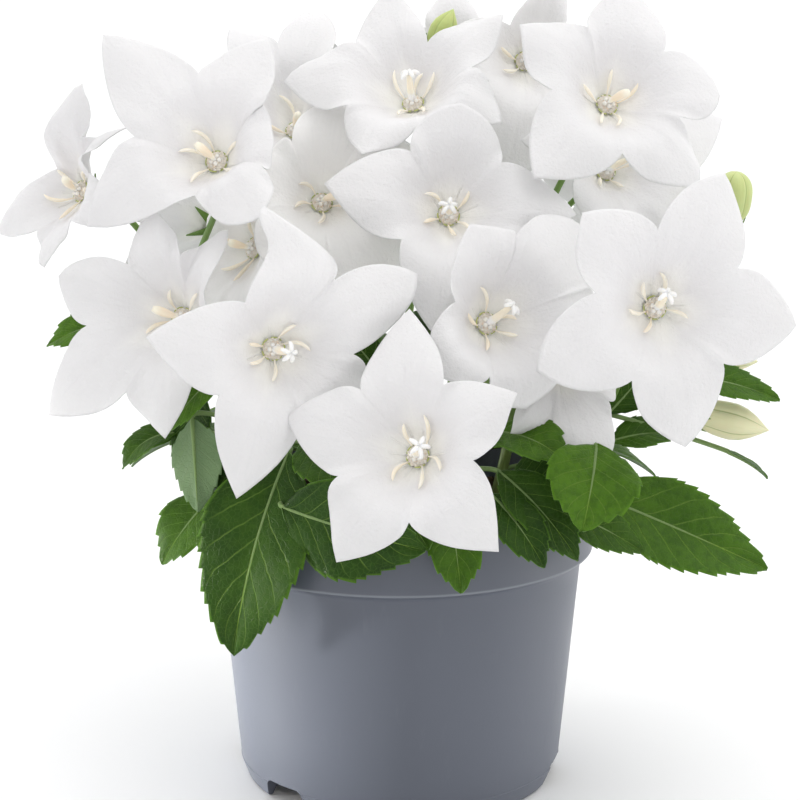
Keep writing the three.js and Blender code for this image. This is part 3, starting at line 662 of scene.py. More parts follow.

# Each bloom: the middle of its throat, the way it faces (degrees to the right of the front,
# degrees above the horizon) and its five lobes, clockwise as one looks into it, as
# [degrees from its right hand side, length, lift of the tip, bluntness]. Where it is given, sinus
# tells how far out the notches between lobes lie, and sinuses the one after a lobe; wall how steep
# the bowl's side is; twists the degrees by which a lobe is turned about its middle; swells a hump
# on it as height, place and breadth; sweeps how far its tip and its waist are moved aside.
# Pale paints a bloom whiter, as painted light where it sits in shade among the other blooms.
blooms = {
    "front": dict(at=(5, -77, 118), face=(-20, 22), sinus=0.48, blunt=0.05,
                  lobes=[[98, 39, 0], [31, 33, 0], [-41, 37, 0], [-117, 35, 0], [170, 37, 1]]),
    "right": dict(at=(69, -62, 156), face=(11, 8), blunt=0.45,
                  lobes=[[63, 40, 0], [-9, 38, 0], [-82, 38, 0], [-156, 39, 0], [131, 34, 0]]),
    "leftCentre": dict(at=(-35, -58, 144), face=(14, 6), sinus=0.47, blunt=0, wall=3.2,
                       sweeps={0: (14, -2.2)}, sinuses={0: 0.51},
                       lobes=[[76, 37, 1, 0.75], [27, 43, 7, 0.7], [-36, 32, -9, 0.5], [-107, 42, 0],
                              [172, 36, 0]]),
    "left": dict(at=(-62, -36, 149), face=(-20, 14), twists={1: -38},
                 lobes=[[102, 31, 2], [60, 29, -5, 0.8], [-83, 35, 3, 0], [-144, 52, -2], [165, 35, 4, 0.9]]),
    "upperLeft": dict(at=(-52, -30, 193), face=(-12, 26), swells={2: (3, 11, 5), 3: (5.5, 12, 5)}, wall=3.6,
                      sinuses={0: 0.47, 1: 0.62, 2: 0.66, 3: 0.44, 4: 0.42},
                      lobes=[[136, 47, 11, 0.3], [67, 36, 3, 0.5], [8, 19, -4, 1], [-48, 30, 6, 0.9],
                             [-148, 41, -2]]),
    "farLeft": dict(at=(-94, -10, 183), face=(-45, 18), sinus=0.46, twists={0: 40, 1: -40},
                    lobes=[[83, 30, 0, 0.4], [44, 28, -6], [-15, 32, -6], [-66, 28, 4], [-148, 31, -2, 0]]),
    "middle": dict(at=(14, -22, 177), face=(6, 24),
                   sinuses={0: 0.58, 4: 0.56},
                   lobes=[[84, 28, 6, 0.9], [-5, 36, 0], [-52, 34, 0], [-99, 39, 0], [169, 37, 0]]),
    "top": dict(at=(4, 0, 208), face=(-13, 44), wall=3.0, sinuses={0: 0.37},
                lobes=[[108, 39, 3], [45, 36, 3], [-23, 32, -4], [-106, 31, 0], [177, 39, 0]]),
    "innerLeft": dict(at=(-23.7, -2, 178.7), face=(12, 32), sinus=0.7, blunt=0.9, pale=1,
                      lobes=[[79, 27, 3], [20, 31, 0], [-66, 36, 0], [-125, 31, -2], [162, 21, -4]]),
    "innerLowLeft": dict(at=(-44, 0, 165), face=(-45, 12), sinus=0.62, blunt=0.9, pale=0.6,
                         lobes=[[80, 24, -2], [5, 22, 0], [-58, 28, 0], [-125, 25, 0], [155, 17, -3]]),
    "innerRight": dict(at=(24, -46, 149), face=(24, 18), sinus=0.60, wall=4.0, sinuses={1: 0.80},
                       lobes=[[109, 27, 6], [40, 40, 0, 0.8], [-13, 37, -4, 0.9], [-78, 26, -4, 0.8],
                              [-150, 27, 0, 0.6]]),
    "upperRight": dict(at=(61, -6, 208), face=(14, 30),
                       lobes=[[75, 38, 0], [-4, 32, 0, 1], [-57, 37, 0, 0.6], [-137, 40, 0], [142, 34, 0]]),
    "underUpperRight": dict(at=(65, 30, 186), face=(18, 24),
                            lobes=[[85, 20, -4], [20, 44, 0], [-52, 34, 0], [-125, 26, 0], [166, 32, 0]]),
    "topBehind": dict(at=(40, 46, 220), face=(8, 20), blunt=0.9, pale=0.2,
                      lobes=[[64, 27, 0, 0], [5, 22, 0], [-42, 32, 0], [-101, 42, 0], [170, 26, 0]]),
    "upperLeftBehind": dict(at=(-33, 33, 198.5), face=(-8, 40), sinus=0.5,
                            lobes=[[88, 47, 0, 0.9], [36, 31, 0], [-46, 23, 0, 0.9], [-112, 18, 0, 0.9],
                                   [123, 49, 0, 0]]),
    "lowRight": dict(at=(46, -39, 135), face=(14, 0), blunt=0.9, sinuses={1: 0.70, 2: 0.56}, stamens=0,
                     lobes=[[86, 16, -9], [8, 16, -6], [-80, 25, 9, 1], [-138, 24, -3, 0.2], [160, 12, -7]]),
    "crown": dict(at=(18, 60, 214), face=(0, 35),
                  lobes=[[90, 30, 0], [25, 26, 0], [-54, 24, 0], [-126, 26, 0], [162, 28, 0]]),
    "backLeft": dict(at=(-62, 48, 168), face=(-130, 25),
                     lobes=[[95, 36, 0], [22, 35, 0], [-50, 36, 0], [-122, 35, 0], [166, 37, 0]]),
    "back": dict(at=(2, 78, 160), face=(178, 20),
                 lobes=[[80, 36, 0], [8, 35, 0], [-64, 36, 0], [-136, 35, 0], [152, 37, 0]]),
    "backRight": dict(at=(66, 58, 168), face=(135, 25),
                      lobes=[[100, 36, 0], [28, 35, 0], [-44, 36, 0], [-116, 35, 0], [172, 37, 0]]),
    "backUpper": dict(at=(-26, 62, 196), face=(-165, 40),
                      lobes=[[90, 32, 0], [18, 33, 0], [-54, 34, 0], [-126, 33, 0], [162, 33, 0]]),
}


# The bowl's height by radius: a quick rise, a slow one, a steeper side and, outwards, a drooping tip
def cupHeight(radius, wall=bloomSetup["wall"]):
    b = bloomSetup
    x = np.maximum(0, radius - b["throatRadius"]) / (b["reach"] - b["throatRadius"])
    bowl = 1 - (1 - np.minimum(x / 0.8, 1)) ** 2
    rounded = smooth(-0.05, 0.72, x) - smooth(-0.05, 0.72, 0)
    side = wall * np.exp(-((radius - b["sideRadius"]) / b["sideBreadth"]) ** 2)
    droop = b["tipCurl"] * np.maximum(0, x - 0.5) ** 2 * 4
    return b["cupDepth"] * (0.6 * bowl + 0.4 * rounded) + side - droop


# The edge of half a lobe from its tip to the sinus, as distance along and across the lobe
def lobeEdge(reach, sinusReach, halfGap, blunt, t):
    sinusAlong = sinusReach * math.cos(halfGap)
    sinusAcross = sinusReach * math.sin(halfGap)
    shoulder = sinusAlong + (0.30 + 0.15 * blunt) * (reach - sinusAlong)
    edge = bezier(t, (reach, 0), ((0.8 + 0.14 * blunt) * reach, (0.58 + 0.3 * blunt) * sinusAcross),
                  (shoulder, 1.10 * sinusAcross), (sinusAlong, sinusAcross))
    return edge[:, 0], edge[:, 1]


# Each lobe's angle, length, lift and bluntness, and to each side of it half the gap to the next
# lobe, how far out the notch between them lies, and that lobe
def lobeFacts(bloom):
    lobes = bloom["lobes"]
    facts = []
    for k, (angle, reach, lift, *rest) in enumerate(lobes):
        gaps = []
        for side in (-1, 1):
            other = lobes[(k + side) % 5]
            gap = ((side * (angle - other[0])) % 360) / 2
            share = bloom.get("sinuses", {}).get((k + min(side, 0)) % 5,
                                                 bloom.get("sinus", bloomSetup["sinusShare"]))
            share = min(bloomSetup["sinusMost"], share * bloomSetup["sinusOut"])
            gaps.append((gap * degree, share * min(1, 40 / gap) * (reach + other[1]) / 2, other))
        blunt = rest[0] if rest else bloom.get("blunt", bloomSetup["blunt"])
        facts.append((angle * degree, reach, lift, blunt, gaps))
    return facts


# The corolla: for each half lobe a grid from the throat circle out to the lobe's edge. Height is the
# cup plus the lobe's own lift, less a rolled edge, a groove along each rib and folds at the throat.
def corollaGrid(bloom, seed):
    b = bloomSetup
    random = np.random.default_rng(b["seed"] + seed)
    n = b["halfColumns"]
    wall = bloom.get("wall", b["wall"])
    out = np.linspace(0, 1, b["rows"])[:, None] ** 0.9
    columns, rounds = [], []
    for k, (angle, reach, lift, blunt, gaps) in enumerate(lobeFacts(bloom)):
        phases = random.uniform(0, 2 * math.pi, 4)
        strength = random.uniform(0.6, 1.3)
        lean = bloom.get("twists", {}).get(k, random.uniform(-b["lean"], b["lean"])) * degree
        swell, place, breadth = bloom.get("swells", {}).get(k, (0, 10, 5))
        tipAway, waistAway = bloom.get("sweeps", {}).get(k, (0, 0))
        for (halfGap, sinusReach, other), steps in zip(gaps, (np.arange(-n, 0), np.arange(0, n))):
            t = np.abs(steps / n) ** 0.85
            signed = np.where(steps < 0, -t, t)
            along, width = lobeEdge(reach, sinusReach, halfGap, blunt, t)
            edge = np.hypot(along, width)
            share = (b["throatRadius"] + (edge - b["throatRadius"]) * out) / edge
            x = along * share
            y = width * share * (1 if steps[0] < 0 else -1)
            radius = np.hypot(x, y)
            shared = 0.5 * smooth(0.35, 1, t)   # towards a notch both lobes bend alike
            reachHere = reach + (other[1] - reach) * shared
            liftHere = lift + (other[2] - lift) * shared
            hinge = b["hinge"] * reachHere
            bend = np.maximum(0, (x - hinge) / (reachHere - hinge)) ** 1.5 * liftHere
            bend = bend + swell * np.exp(-((radius - place) / breadth) ** 2) * (1 - shared)
            roll = b["edgeRoll"] * np.sin(t * math.pi) ** 2 * np.maximum(0, (out - 0.35) / 0.65) ** 2
            rib = b["ribDepth"] * np.exp(-(y / 0.8) ** 2) * smooth(0.1, 0.35, out) \
                * (1 - smooth(0.8, 1.0, out))
            folds = b["throatFolds"] * np.cos(signed * 2 * math.pi) * smooth(3.6, 6, radius) \
                * (1 - smooth(9, 17, radius))
            ripple = b["ripple"] * strength * out ** 3 * (
                np.sin(signed * 4.2 + phases[0]) + 0.6 * np.sin(signed * 9.5 + phases[1])
                + 0.5 * np.sin(x / reach * 9 + phases[2])) \
                + 0.16 * out ** 2 * np.sin(signed * 17 + phases[3]) * np.sin(x * 0.55 + phases[1])
            z = cupHeight(radius, wall) + bend - roll - rib + folds + ripple * (1 - t ** 4)
            y = y + tipAway * smooth(0.70, 1.08, x / reach) \
                + waistAway * np.exp(-((x / reach - 0.60) / 0.18) ** 2) * (1 - t ** 4)
            turn = lean * smooth(0.2, 0.7, out) * (1 - smooth(0.7, 1, t))
            columns.append(swung(x, y * np.cos(turn), z + y * np.sin(turn), angle))
            rounds.append((k + 0.5 + signed / 2) / 5)
    return np.concatenate(columns, 1), np.concatenate(rounds), out


# A bloom's petals: a sheet round its grid that thins towards the edge
def buildCorolla(name, bloom, seed, material):
    grid, u, v = corollaGrid(bloom, seed)
    thickness = bloomSetup["thickness"] * (1 - bloomSetup["edgeThinning"] * v ** 4)
    item = sheet(grid, thickness, closed=True, pole=np.zeros(3), u=u, v=v, pale=bloom.get("pale", 0.0))
    return addPiece("bloom_" + name, [moved(frameAt(bloom["at"], bloom["face"]), item)], material,
                    "petal_white", "petals_" + name)


# Centres of blooms

centreSetup = {
    "ringRadius": 3.15,
    "ringThickness": 0.23,
    "domeRadius": 2.9,
    "beads": 46,
    "beadTurn": 2.39996,  # radians, the golden angle, which spreads the beads evenly
    "beadSize": (0.34, 0.60),
    "creamTones": (0.55, 0.82),
    "peachTone": 0.36,
    "peachShare": 0.2,
    "ridges": 12,
    "ridgeReach": (5.5, 8.5),
    "stamenReach": (7.4, 10.8),
    "stamenTones": (0.50, 0.78),
    "knobRadius": 1.25,
    "knobSize": (0.76, 0.76, 0.82),
    "starReach": (2.1, 3.3),
    "seed": 900,
}

# Each style: where its tip leans to, in the bloom's own right, up and out, and whether it has opened
styles = {
    "front": (3.0, 1.2, 9.5, "star"),
    "right": (0.8, 3.6, 8.5, "star"),
    "leftCentre": (3.0, -0.8, 9.5, "star"),
    "left": (-6.0, 1.8, 8.0, "club"),
    "upperLeft": (-4.4, 2.4, 8.0, "club"),
    "farLeft": (2.0, 2.0, 9.0, "club"),
    "middle": (-0.5, 0.6, 7.5, "star"),
    "top": (0.0, 2.6, 11.0, "star"),
    "innerLeft": (4.0, -1.5, 8.5, "club"),
    "innerLowLeft": (-2.0, 0.6, 9.0, "club"),
    "innerRight": (4.0, 3.2, 9.5, "star"),
    "upperRight": (4.4, 0.2, 8.5, "club"),
    "underUpperRight": (5.0, 1.0, 9.0, "star"),
}


# The middle of a bloom: an olive ring, a low dome of cream beads, thin ridges that run out over the
# petals, withered stamens lying on them, the style, and five white knobs at its foot
def buildCentre(name, bloom, seed, material):
    c = centreSetup
    random = np.random.default_rng(c["seed"] + seed)
    floor = bloomSetup["thickness"] / 2 + bloomSetup["seatGap"]
    wall = bloom.get("wall", bloomSetup["wall"])
    dome = c["domeRadius"]
    turnBy = random.uniform(0, 2 * math.pi)
    q = np.linspace(-1, 1, 12)
    parts = [tube(rings(c["ringRadius"], floor + 0.3, turnBy + (72 * k + 29 * q) * degree),
                  c["ringThickness"] - 0.08 * np.abs(q) ** 4, 6, tone=0.05) for k in range(5)]
    parts.append(turned([(0, floor), (dome - 0.1, floor), (dome, floor + 0.5), (2.1, floor + 1.2),
                         (1.0, floor + 1.6), (0, floor + 1.7)], 20, tone=0.62))
    for k in range(c["beads"]):
        r = (dome - 0.05) * math.sqrt((k + 0.5) / c["beads"])
        a = k * c["beadTurn"] + random.uniform(-0.2, 0.2)
        size = random.uniform(*c["beadSize"])
        z = floor + 0.27 + 1.25 * (1 - (r / (dome + 0.05)) ** 2)
        tone = c["peachTone"] if random.uniform() < c["peachShare"] else random.uniform(*c["creamTones"])
        parts.append(lump(ballPoints * size + rings(r, z, a), tone))
    for k in range(c["ridges"]):
        a = turnBy + (24 * k + 9 + random.uniform(-6, 6)) * degree
        r = np.linspace(3.0, random.uniform(*c["ridgeReach"]), 7)
        parts.append(tube(rings(r, cupHeight(r, wall) + 0.16, a), np.linspace(0.26, 0.10, 7), 5, tone=1.0))
    t = np.linspace(0, 1, 12)
    wide = 0.28 + 0.34 * np.sin(np.clip((t - 0.25) / 0.75, 0, 1) * math.pi) ** 0.8
    wide[-1] = 0.08
    for k in range(bloom.get("stamens", 5)):
        a = turnBy + (72 * k + random.uniform(-24, 24)) * degree
        r = dome + (random.uniform(*c["stamenReach"]) - dome) * t
        swing = random.uniform(-0.5, 0.5) * t ** 2
        height = cupHeight(r, wall) + floor + 0.3 + 1.1 * np.sin(t * math.pi * 0.85) \
            + random.uniform(-0.2, 0.5) * t
        parts.append(tube(rings(r, height, a + swing), wide, 6, tone=random.uniform(*c["stamenTones"])))
    *tip, kind = styles.get(name, (random.uniform(-3, 3), random.uniform(-2, 2), 9.0,
                                   "star" if seed % 2 else "club"))
    parts += styleParts(floor + 1.0, np.array(tip), kind, random)
    for k in range(5):
        spot = rings(c["knobRadius"], floor + 1.75, turnBy + (36 + 72 * k) * degree)
        parts.append(lump(ballPoints * c["knobSize"] + spot, 0.86))
    base = frameAt(bloom["at"], bloom["face"])
    return addPiece("bloomHeart_" + name, [moved(base, item) for item in parts], material,
                    "bloom_centre", "centre_" + name)


# The style leans to its tip. As a club it swells and darkens towards the end; opened, it bears a
# star of five narrow lobes that spread from its tip and bend back.
def styleParts(foot, tip, kind, random):
    t = np.linspace(0, 1, 14)
    path = bezier(t, (0, 0, foot), tip * (0.1, 0.1, 0.55), tip)
    if kind == "club":
        wide = 0.62 + 0.68 * smooth(0.12, 0.8, t) - 0.5 * smooth(0.88, 1, t)
        tone = 0.95 - 0.48 * smooth(0.15, 0.45, t) + 0.22 * smooth(0.75, 1, t)
        return [tube(path, wide, 12, tone=tone[:, None])]
    wide = 0.85 + 0.35 * np.sin(t * math.pi) - 0.2 * t
    parts = [tube(path, wide, 12, tone=(1.0 - 0.45 * smooth(0.25, 0.6, t))[:, None])]
    along = unit(path[-1] - path[-3])
    side = unit(np.cross(along, (0.3, 0.9, 0.1)))
    other = np.cross(along, side)
    first = random.uniform(0, 2 * math.pi)
    t = np.linspace(0, 1, 9)
    wide = 0.46 + 0.22 * np.sin(t * math.pi)
    wide[-1] = 0.34
    for k in range(5):
        a = first + (72 * k + random.uniform(-8, 8)) * degree
        away = math.cos(a) * side + math.sin(a) * other
        reach = random.uniform(*centreSetup["starReach"]) * t
        rise = 0.6 * np.sin(t * math.pi * 0.6) - 1.3 * t ** 3
        parts.append(tube(path[-1] + reach[:, None] * away + rise[:, None] * along, wide, 7, tone=1.0))
    return parts


# Buds

# A bud's profile as shares of its length and of its radius
budSetup = {
    "rows": 34,
    "sides": 60,
    "heights": (0, 0.03, 0.12, 0.25, 0.38, 0.5, 0.64, 0.78, 0.88, 0.95, 1.0),
    "widths": (0.50, 0.66, 0.84, 0.95, 0.995, 1.0, 0.88, 0.62, 0.36, 0.16, 0.03),
    "seamDepth": 0.13,
}

# Each bud: the middle of its base, the way it points, its length, its radius, its material slot,
# its tone from deep to pale and how far it is rounded towards a ball
buds = {
    "top": dict(at=(11, 40, 224), face=(90, 65), length=14, radius=4.5, slot="bud_green", tone=0.15),
    "right": dict(at=(102, 14, 171.5), face=(20, 76), length=16.5, radius=5.9, slot="bud_green", tone=0.4,
                  roundness=0.9),
    "lowRight": dict(at=(88, -26, 119.5), face=(81, -13), length=21, radius=5.6, slot="bud_cream", tone=0.6),
    "midRight": dict(at=(91, -20, 136), face=(84, -8), length=15, radius=4, slot="bud_cream", tone=1.0),
}


# A balloon with five rounded sides that meet in a point. Roundness blends its profile into a ball's.
def buildBud(name, bud, material):
    t = np.linspace(0, 1, budSetup["rows"])[:, None]
    shape = np.interp(t, budSetup["heights"], budSetup["widths"])
    ball = np.maximum(1 - np.abs(2 * t - 1) ** 3, 0.001) ** 0.5
    shape = shape + bud.get("roundness", 0) * (ball - shape)
    angle = roundAngles(budSetup["sides"])
    five = np.abs(np.sin(angle * 2.5)) ** 0.7
    r = bud["radius"] * shape * (1 - budSetup["seamDepth"] * (1 - five) * smooth(0, 0.25, t))
    item = closedTube(rings(r, bud["length"] * t, angle), (0, 0, 0), (0, 0, bud["length"]),
                      u=angle / (2 * math.pi), v=t, tone=bud["tone"])
    return addPiece("flowerBud_" + name, [moved(frameAt(bud["at"], bud["face"]), item)], material,
                    bud["slot"], "bud_" + name)


# Stems, stalks and the green cups under blooms and buds

stemSetup = {
    "holeDepth": 26.0,    # how deep each stem stands in the soil
    "stemRadius": 1.9,
    "stalkRadius": 1.1,
    "clearance": 0.3,     # between a stem's end and the bottom of its hole
    "sides": 10,
    "rows": 26,
    "stalkLead": 10,      # how far a stalk first follows its stem
    "stalkEnd": (19, 6),  # how far under the bloom it is upright, and ends
}

# The green cup: its profile as radius and height from its top, and its five sepals
calyxSetup = {
    "sides": 40,
    "profile": [(0.95, -7), (1.5, -6.1), (2.5, -4.8), (3.2, -3.2), (3.4, -1.6), (3.1, -0.4), (1.5, -0.1)],
    "ribs": 0.07,
    "sepalHalf": 1.55,
    "sepalThickness": 0.4,
}

# Each stem: where it leaves the soil, where it ends and how its middle bends; what it carries,
# with the share of its length at which the stalk leaves it; and its leaves. A leaf is
# (share of the stem, where its blade starts, its tip, the way its upper side faces, width, arch,
# tone from dark to light, partly the leaf's own green and partly painted shade and light). A plain
# leaf is (share, direction, length, rise in degrees, width).
stems = {
    "front": dict(
        foot=(2, -26), bend=(2, -34, 100), end=(12, -38, 122),
        stalks={"front": 0.7, "innerRight": 0.97},
        leaves=[
            (0.3, (14, -54, 99), (17, -68, 77), (0, 25), 17, 2, 0.6),
            (0.7, (27, -46, 118), (46, -57, 112), (20, 50), 19, 3, 0.75),
            (0.5, (28, -48, 107), (50, -60, 84), (10, 35), 17, 4, 0.2),
            (0.4, (26, -52, 101), (40, -67, 84), (10, 30), 15, 3, 0.1),
            (0.2, (-2, -50, 100), (8, -66, 89), (-10, 40), 18, 2, 0.3),
        ],
    ),
    "right": dict(
        foot=(28, -22), bend=(44, -22, 100), end=(66, -18, 122),
        stalks={"right": 0.85, "lowRight": 0.6, "lowRight_bud": 1, "midRight_bud": 0.95},
        leaves=[
            (0.25, (55, -54, 116), (50, -69, 95), (10, 35), 28, 3, 0.85),
            (0.4, (56, -38, 98), (107, -41, 76), (15, 32), 28, 1, 0.6),
            (0.25, (45, -49, 96), (70, -48, 83), (10, 40), 15, 2, 0.35),
            (1, (84, -30, 131), (111, -30, 124), (10, 45), 12, 2, 0.6),
            (0.9, (97, -26, 108), (108, -32, 101), (80, 20), 7, 1, 0.3),
            (0.6, (62, -24, 110), (84, -22, 112), (0, 60), 14, 2, 0.5),
            (0.3, (32, -40, 104), (51, -46, 103), (0, 40), 22, 1, 0.2),
            (0.8, (62, -20, 118), (74, -24, 134), (20, 10), 13, 1, 0.3),
        ],
    ),
    "leftFront": dict(
        foot=(-24, -24), bend=(-32, -28, 100), end=(-42, -28, 124),
        stalks={"leftCentre": 0.9, "left": 0.8},
        leaves=[
            (0.55, (-32, -42, 111), (-48, -51, 53), (-15, 22), 35, 7, 0.2),
            (0.7, (-27, -42, 114), (-13, -60, 102), (-5, 50), 20, 3, 0.45),
            (0.3, (-33, -54, 98), (7, -67, 89), (-15, 0), 30, 2, 0.1),
            (0.5, (-54, -30, 96), (-70, -36, 76), (-35, 30), 20, 2, 0.5),
            (0.8, (-60, -36, 120), (-58, -44, 94), (160, 10), 18, 0, 0.3),
            (0.75, (-50, -33, 134), (-66, -39, 117), (-30, 20), 11, 3, 0.85),
            (0.6, (-40, -32, 122), (-51, -41, 88), (-10, 15), 15, 2, 0.05),
            (0.65, (-44, -36, 130), (-49, -42, 108), (20, 20), 6, 1, 0.9),
        ],
    ),
    "left": dict(
        foot=(-34, -4), bend=(-46, 8, 112), end=(-68, 20, 148),
        stalks={"upperLeft": 0.95, "farLeft": 0.85},
        leaves=[
            (0.35, (-66, -24, 113), (-82, -28, 103), (-30, 50), 12, 4, 0.4),
            (0.6, (-84, -18, 145), (-105, -18, 138), (-20, 50), 13, 2, 1),
            (0.45, (-60, -22, 126), (-62, -30, 100), (-30, 10), 16, 1, 0.15),
        ],
        plain=[(0.3, -100, 40, -15, 20), (0.15, -80, 40, 15, 22), (0.3, -130, 38, -25, 18)],
    ),
    "middle": dict(
        foot=(4, -6), bend=(5, -2, 120), end=(8, 8, 172),
        stalks={"middle": 0.6, "top": 0.97, "top_bud": 0.9},
        leaves=[(0.4, (-4, -20, 128), (-18, -30, 147), (-10, 20), 16, 1, 0.3)],
        plain=[(0.55, -15, 36, 18, 20), (0.6, 12, 34, 24, 18), (0.5, -60, 34, 12, 20), (0.5, 55, 34, 12, 20)],
    ),
    "innerLeft": dict(
        foot=(-16, 4), bend=(-22, 12, 120), end=(-30, 22, 168),
        stalks={"innerLeft": 0.75, "innerLowLeft": 0.6, "upperLeftBehind": 0.97},
    ),
    "upperRight": dict(
        foot=(30, 2), bend=(38, 2, 120), end=(42, 6, 168),
        stalks={"upperRight": 0.97, "right_bud": 0.6},
        plain=[(0.2, 80, 42, -10, 22), (0.35, 110, 40, 0, 20), (0.12, 90, 38, -12, 22),
               (0.3, 140, 40, -25, 18)],
    ),
    "backRight": dict(
        foot=(20, 24), bend=(28, 34, 120), end=(42, 54, 168),
        stalks={"topBehind": 0.97, "backRight": 0.6, "underUpperRight": 0.8},
        plain=[(0.2, 130, 42, -15, 22), (0.3, 160, 38, -10, 20), (0.12, 80, 40, -10, 22),
               (0.25, 170, 36, -14, 18), (0.45, 110, 40, -25, 22)],
    ),
    "backLeft": dict(
        foot=(-22, 26), bend=(-30, 36, 115), end=(-36, 48, 152),
        stalks={"backLeft": 0.85, "backUpper": 0.95},
        plain=[(0.35, -110, 42, -15, 22), (0.45, -150, 40, -10, 20), (0.12, -80, 40, -10, 22),
               (0.25, -170, 34, 0, 22), (0.5, -110, 38, -12, 22)],
    ),
    "back": dict(
        foot=(0, 34), bend=(0, 44, 110), end=(4, 60, 142),
        stalks={"back": 0.8, "crown": 1},
        plain=[(0.35, 170, 40, -20, 22), (0.5, -170, 36, -5, 20), (0.15, 150, 44, -10, 24),
               (0.28, -120, 42, -20, 24), (0.42, 130, 40, -18, 22), (0.6, -120, 40, -20, 20)],
    ),
}


# The three points that draw a stem above the soil
def stemControls(stem):
    return (*stem["foot"], soilSetup["top"] + 3), stem["bend"], stem["end"]


# A stalk leaves its stem forwards and ends upright in the middle of the green cup
def stalkPart(stem, share, place, base):
    g = stemSetup
    start = bezier(share, *stemControls(stem))
    forward = start + g["stalkLead"] * unit(bezierSlope(share, *stemControls(stem)))
    before, end = (placed(place, (0, 0, base - below)) for below in g["stalkEnd"])
    t = np.linspace(0, 1, g["rows"])
    return tube(bezier(t, start, forward, before, end), 0.95 + 0.25 * (1 - t) ** 3 + 0.15 * t ** 6, 9)


# The green cup with five ribs, and five pointed sepals that lie along the back of the corolla
def calyxParts(place, top, flared):
    c = calyxSetup
    angle = roundAngles(c["sides"])
    radii, heights = np.array(c["profile"]).T[..., None]
    grid = rings(radii * (1 + c["ribs"] * np.cos(5 * angle)), top + heights, angle)
    parts = [closedTube(grid, (0, 0, top - 7), (0, 0, top), u=0.5, v=0.5)]
    s = np.linspace(0, 1, 9)[:, None]
    q = np.linspace(-1, 1, 7)[None, :]
    if flared:                          # under a bloom they spread, round a bud they stand up
        reach = 2.9 + 6.2 * s
        height = cupHeight(reach) + top - 0.55 - 0.4 * s
    else:
        reach = 3.2 + 1.6 * np.sin(s * math.pi * 0.55)
        height = top - 1.2 + 5.2 * s
    x = reach + 0 * q
    y = (c["sepalHalf"] * (1 - s) ** 0.8 + 0.05) * q
    z = height - 0.25 * q * q * (1 - s)
    for k in range(5):
        blade = swung(x, y, z, (36 + 72 * k) * degree)
        parts.append(sheet(blade[:, ::-1], c["sepalThickness"], u=0.5, v=0.3))
    return [moved(place, item) for item in parts]


# Leaves

leafSetup = {
    "thickness": 0.45,
    "fold": 0.16,         # how steeply each half rises from the midrib
    "teeth": 14,          # on the longest blade
    "leastTeeth": 7,
    "toothLength": 3.6,
    "rowsPerTooth": 4,
    "across": 8,          # columns on each side of the midrib
    "toothDepth": 0.075,  # share of the half width
    "veins": 7.0,
    "veinSlant": 0.30,
    "quilt": 0.42,        # height of the swellings between the veins
    "stalkRadius": 0.75,
    "ribUnder": 0.32,     # how deep the rib's middle lies under the blade's
    "seed": 23,
}


# A blade's width along its length: a bow that is widest a little before its middle
def bladeWidth(t):
    return np.sin(math.pi * t ** 0.8) ** 0.9


# One blade with sawn edges: rows along the midrib, columns across. The veins' hollows and the
# swellings between them follow lines that slant forwards from the midrib. A tube makes the stalk
# and the rib under the blade.
def leafParts(stem, share, start, tip, face, width, arch, tone, random):
    g = leafSetup
    start, tip = np.asarray(start, float), np.asarray(tip, float)
    out = frameAt((0, 0, 0), face)["out"]
    middle = (start + tip) / 2 + out * arch * 2
    length = np.linalg.norm(tip - start)
    teeth = int(round(np.clip(length / g["toothLength"], g["leastTeeth"], g["teeth"])))
    t = np.linspace(0, 1, teeth * g["rowsPerTooth"] + 1)
    v = t[:, None]
    along = unit(bezierSlope(t, start, middle, tip))
    side = unit(np.cross(out, along))
    upper = np.cross(along, side)
    axis = bezier(t, start, middle, tip)
    half = np.maximum(width / 2 * bladeWidth(np.clip(v, 0, 0.9999)), 0.25)
    q = np.linspace(-1, 1, 2 * g["across"] + 1)
    q = np.sign(q) * np.abs(q) ** 0.85
    saw = (v * teeth) % 1.0
    edge = np.abs(q) ** 5
    x = half * q * (1 - g["toothDepth"] * (1 - saw) * edge * smooth(0, 0.08, v))
    forward = edge * saw * length / teeth * 0.45 * smooth(1.0, 0.9, v)
    phase = (v - g["veinSlant"] * np.abs(q) ** 0.85) * g["veins"]
    swelling = np.abs(np.sin(phase * math.pi)) ** 0.6 * np.sin(np.abs(q) * math.pi) ** 0.7
    wave = random.uniform(0.5, 1.0) * width / 24 * np.sin(v * 11 + random.uniform(0, 6)) * np.sign(q) * q ** 2
    groove = -0.25 * np.exp(-(x / 0.6) ** 2) * smooth(0, 0.1, v)
    lift = np.abs(x) * g["fold"] + g["quilt"] * swelling * np.minimum(1, half / 8) + wave + groove
    grid = axis[:, None] + side[:, None] * x[..., None] + along[:, None] * forward[..., None] \
        + upper[:, None] * lift[..., None]
    blade = sheet(grid[:, ::-1], g["thickness"] * (1 - 0.5 * edge), u=q[::-1], v=v, tone=tone)
    root = bezier(share, *stemControls(stem))
    reach = np.linalg.norm(start - root)
    petiole = bezier(np.linspace(0, 1, 12), root, root + unit(start - root + (0, 0, 2)) * reach * 0.35,
                     start - along[0] * min(reach * 0.3, 4) - upper[0] * 0.3, start - upper[0] * 0.2)
    line = np.concatenate([petiole, (axis - upper * g["ribUnder"])[1:-2]])
    ribRadius = np.clip(g["stalkRadius"] * (1 - t) ** 0.7, 0.12, None)
    radius = np.concatenate([np.full(12, g["stalkRadius"]), ribRadius[1:-2]])
    return [blade, tube(line, radius, 7, u=0.0, v=0.3, tone=0.9, upper=0.35)]


# A plain leaf given by its direction, length and rise, as the start, tip, face, width and arch of a blade
def plainLeaf(stem, share, direction, length, rise, width):
    out = frameAt((0, 0, 0), (direction, 0))["out"]
    start = bezier(share, *stemControls(stem)) + out * 5 + (0, 0, 2)
    tip = start + out * length * math.cos(rise * degree) + (0, 0, length * math.sin(rise * degree))
    return start, tip, (direction, 70), width, length / 8


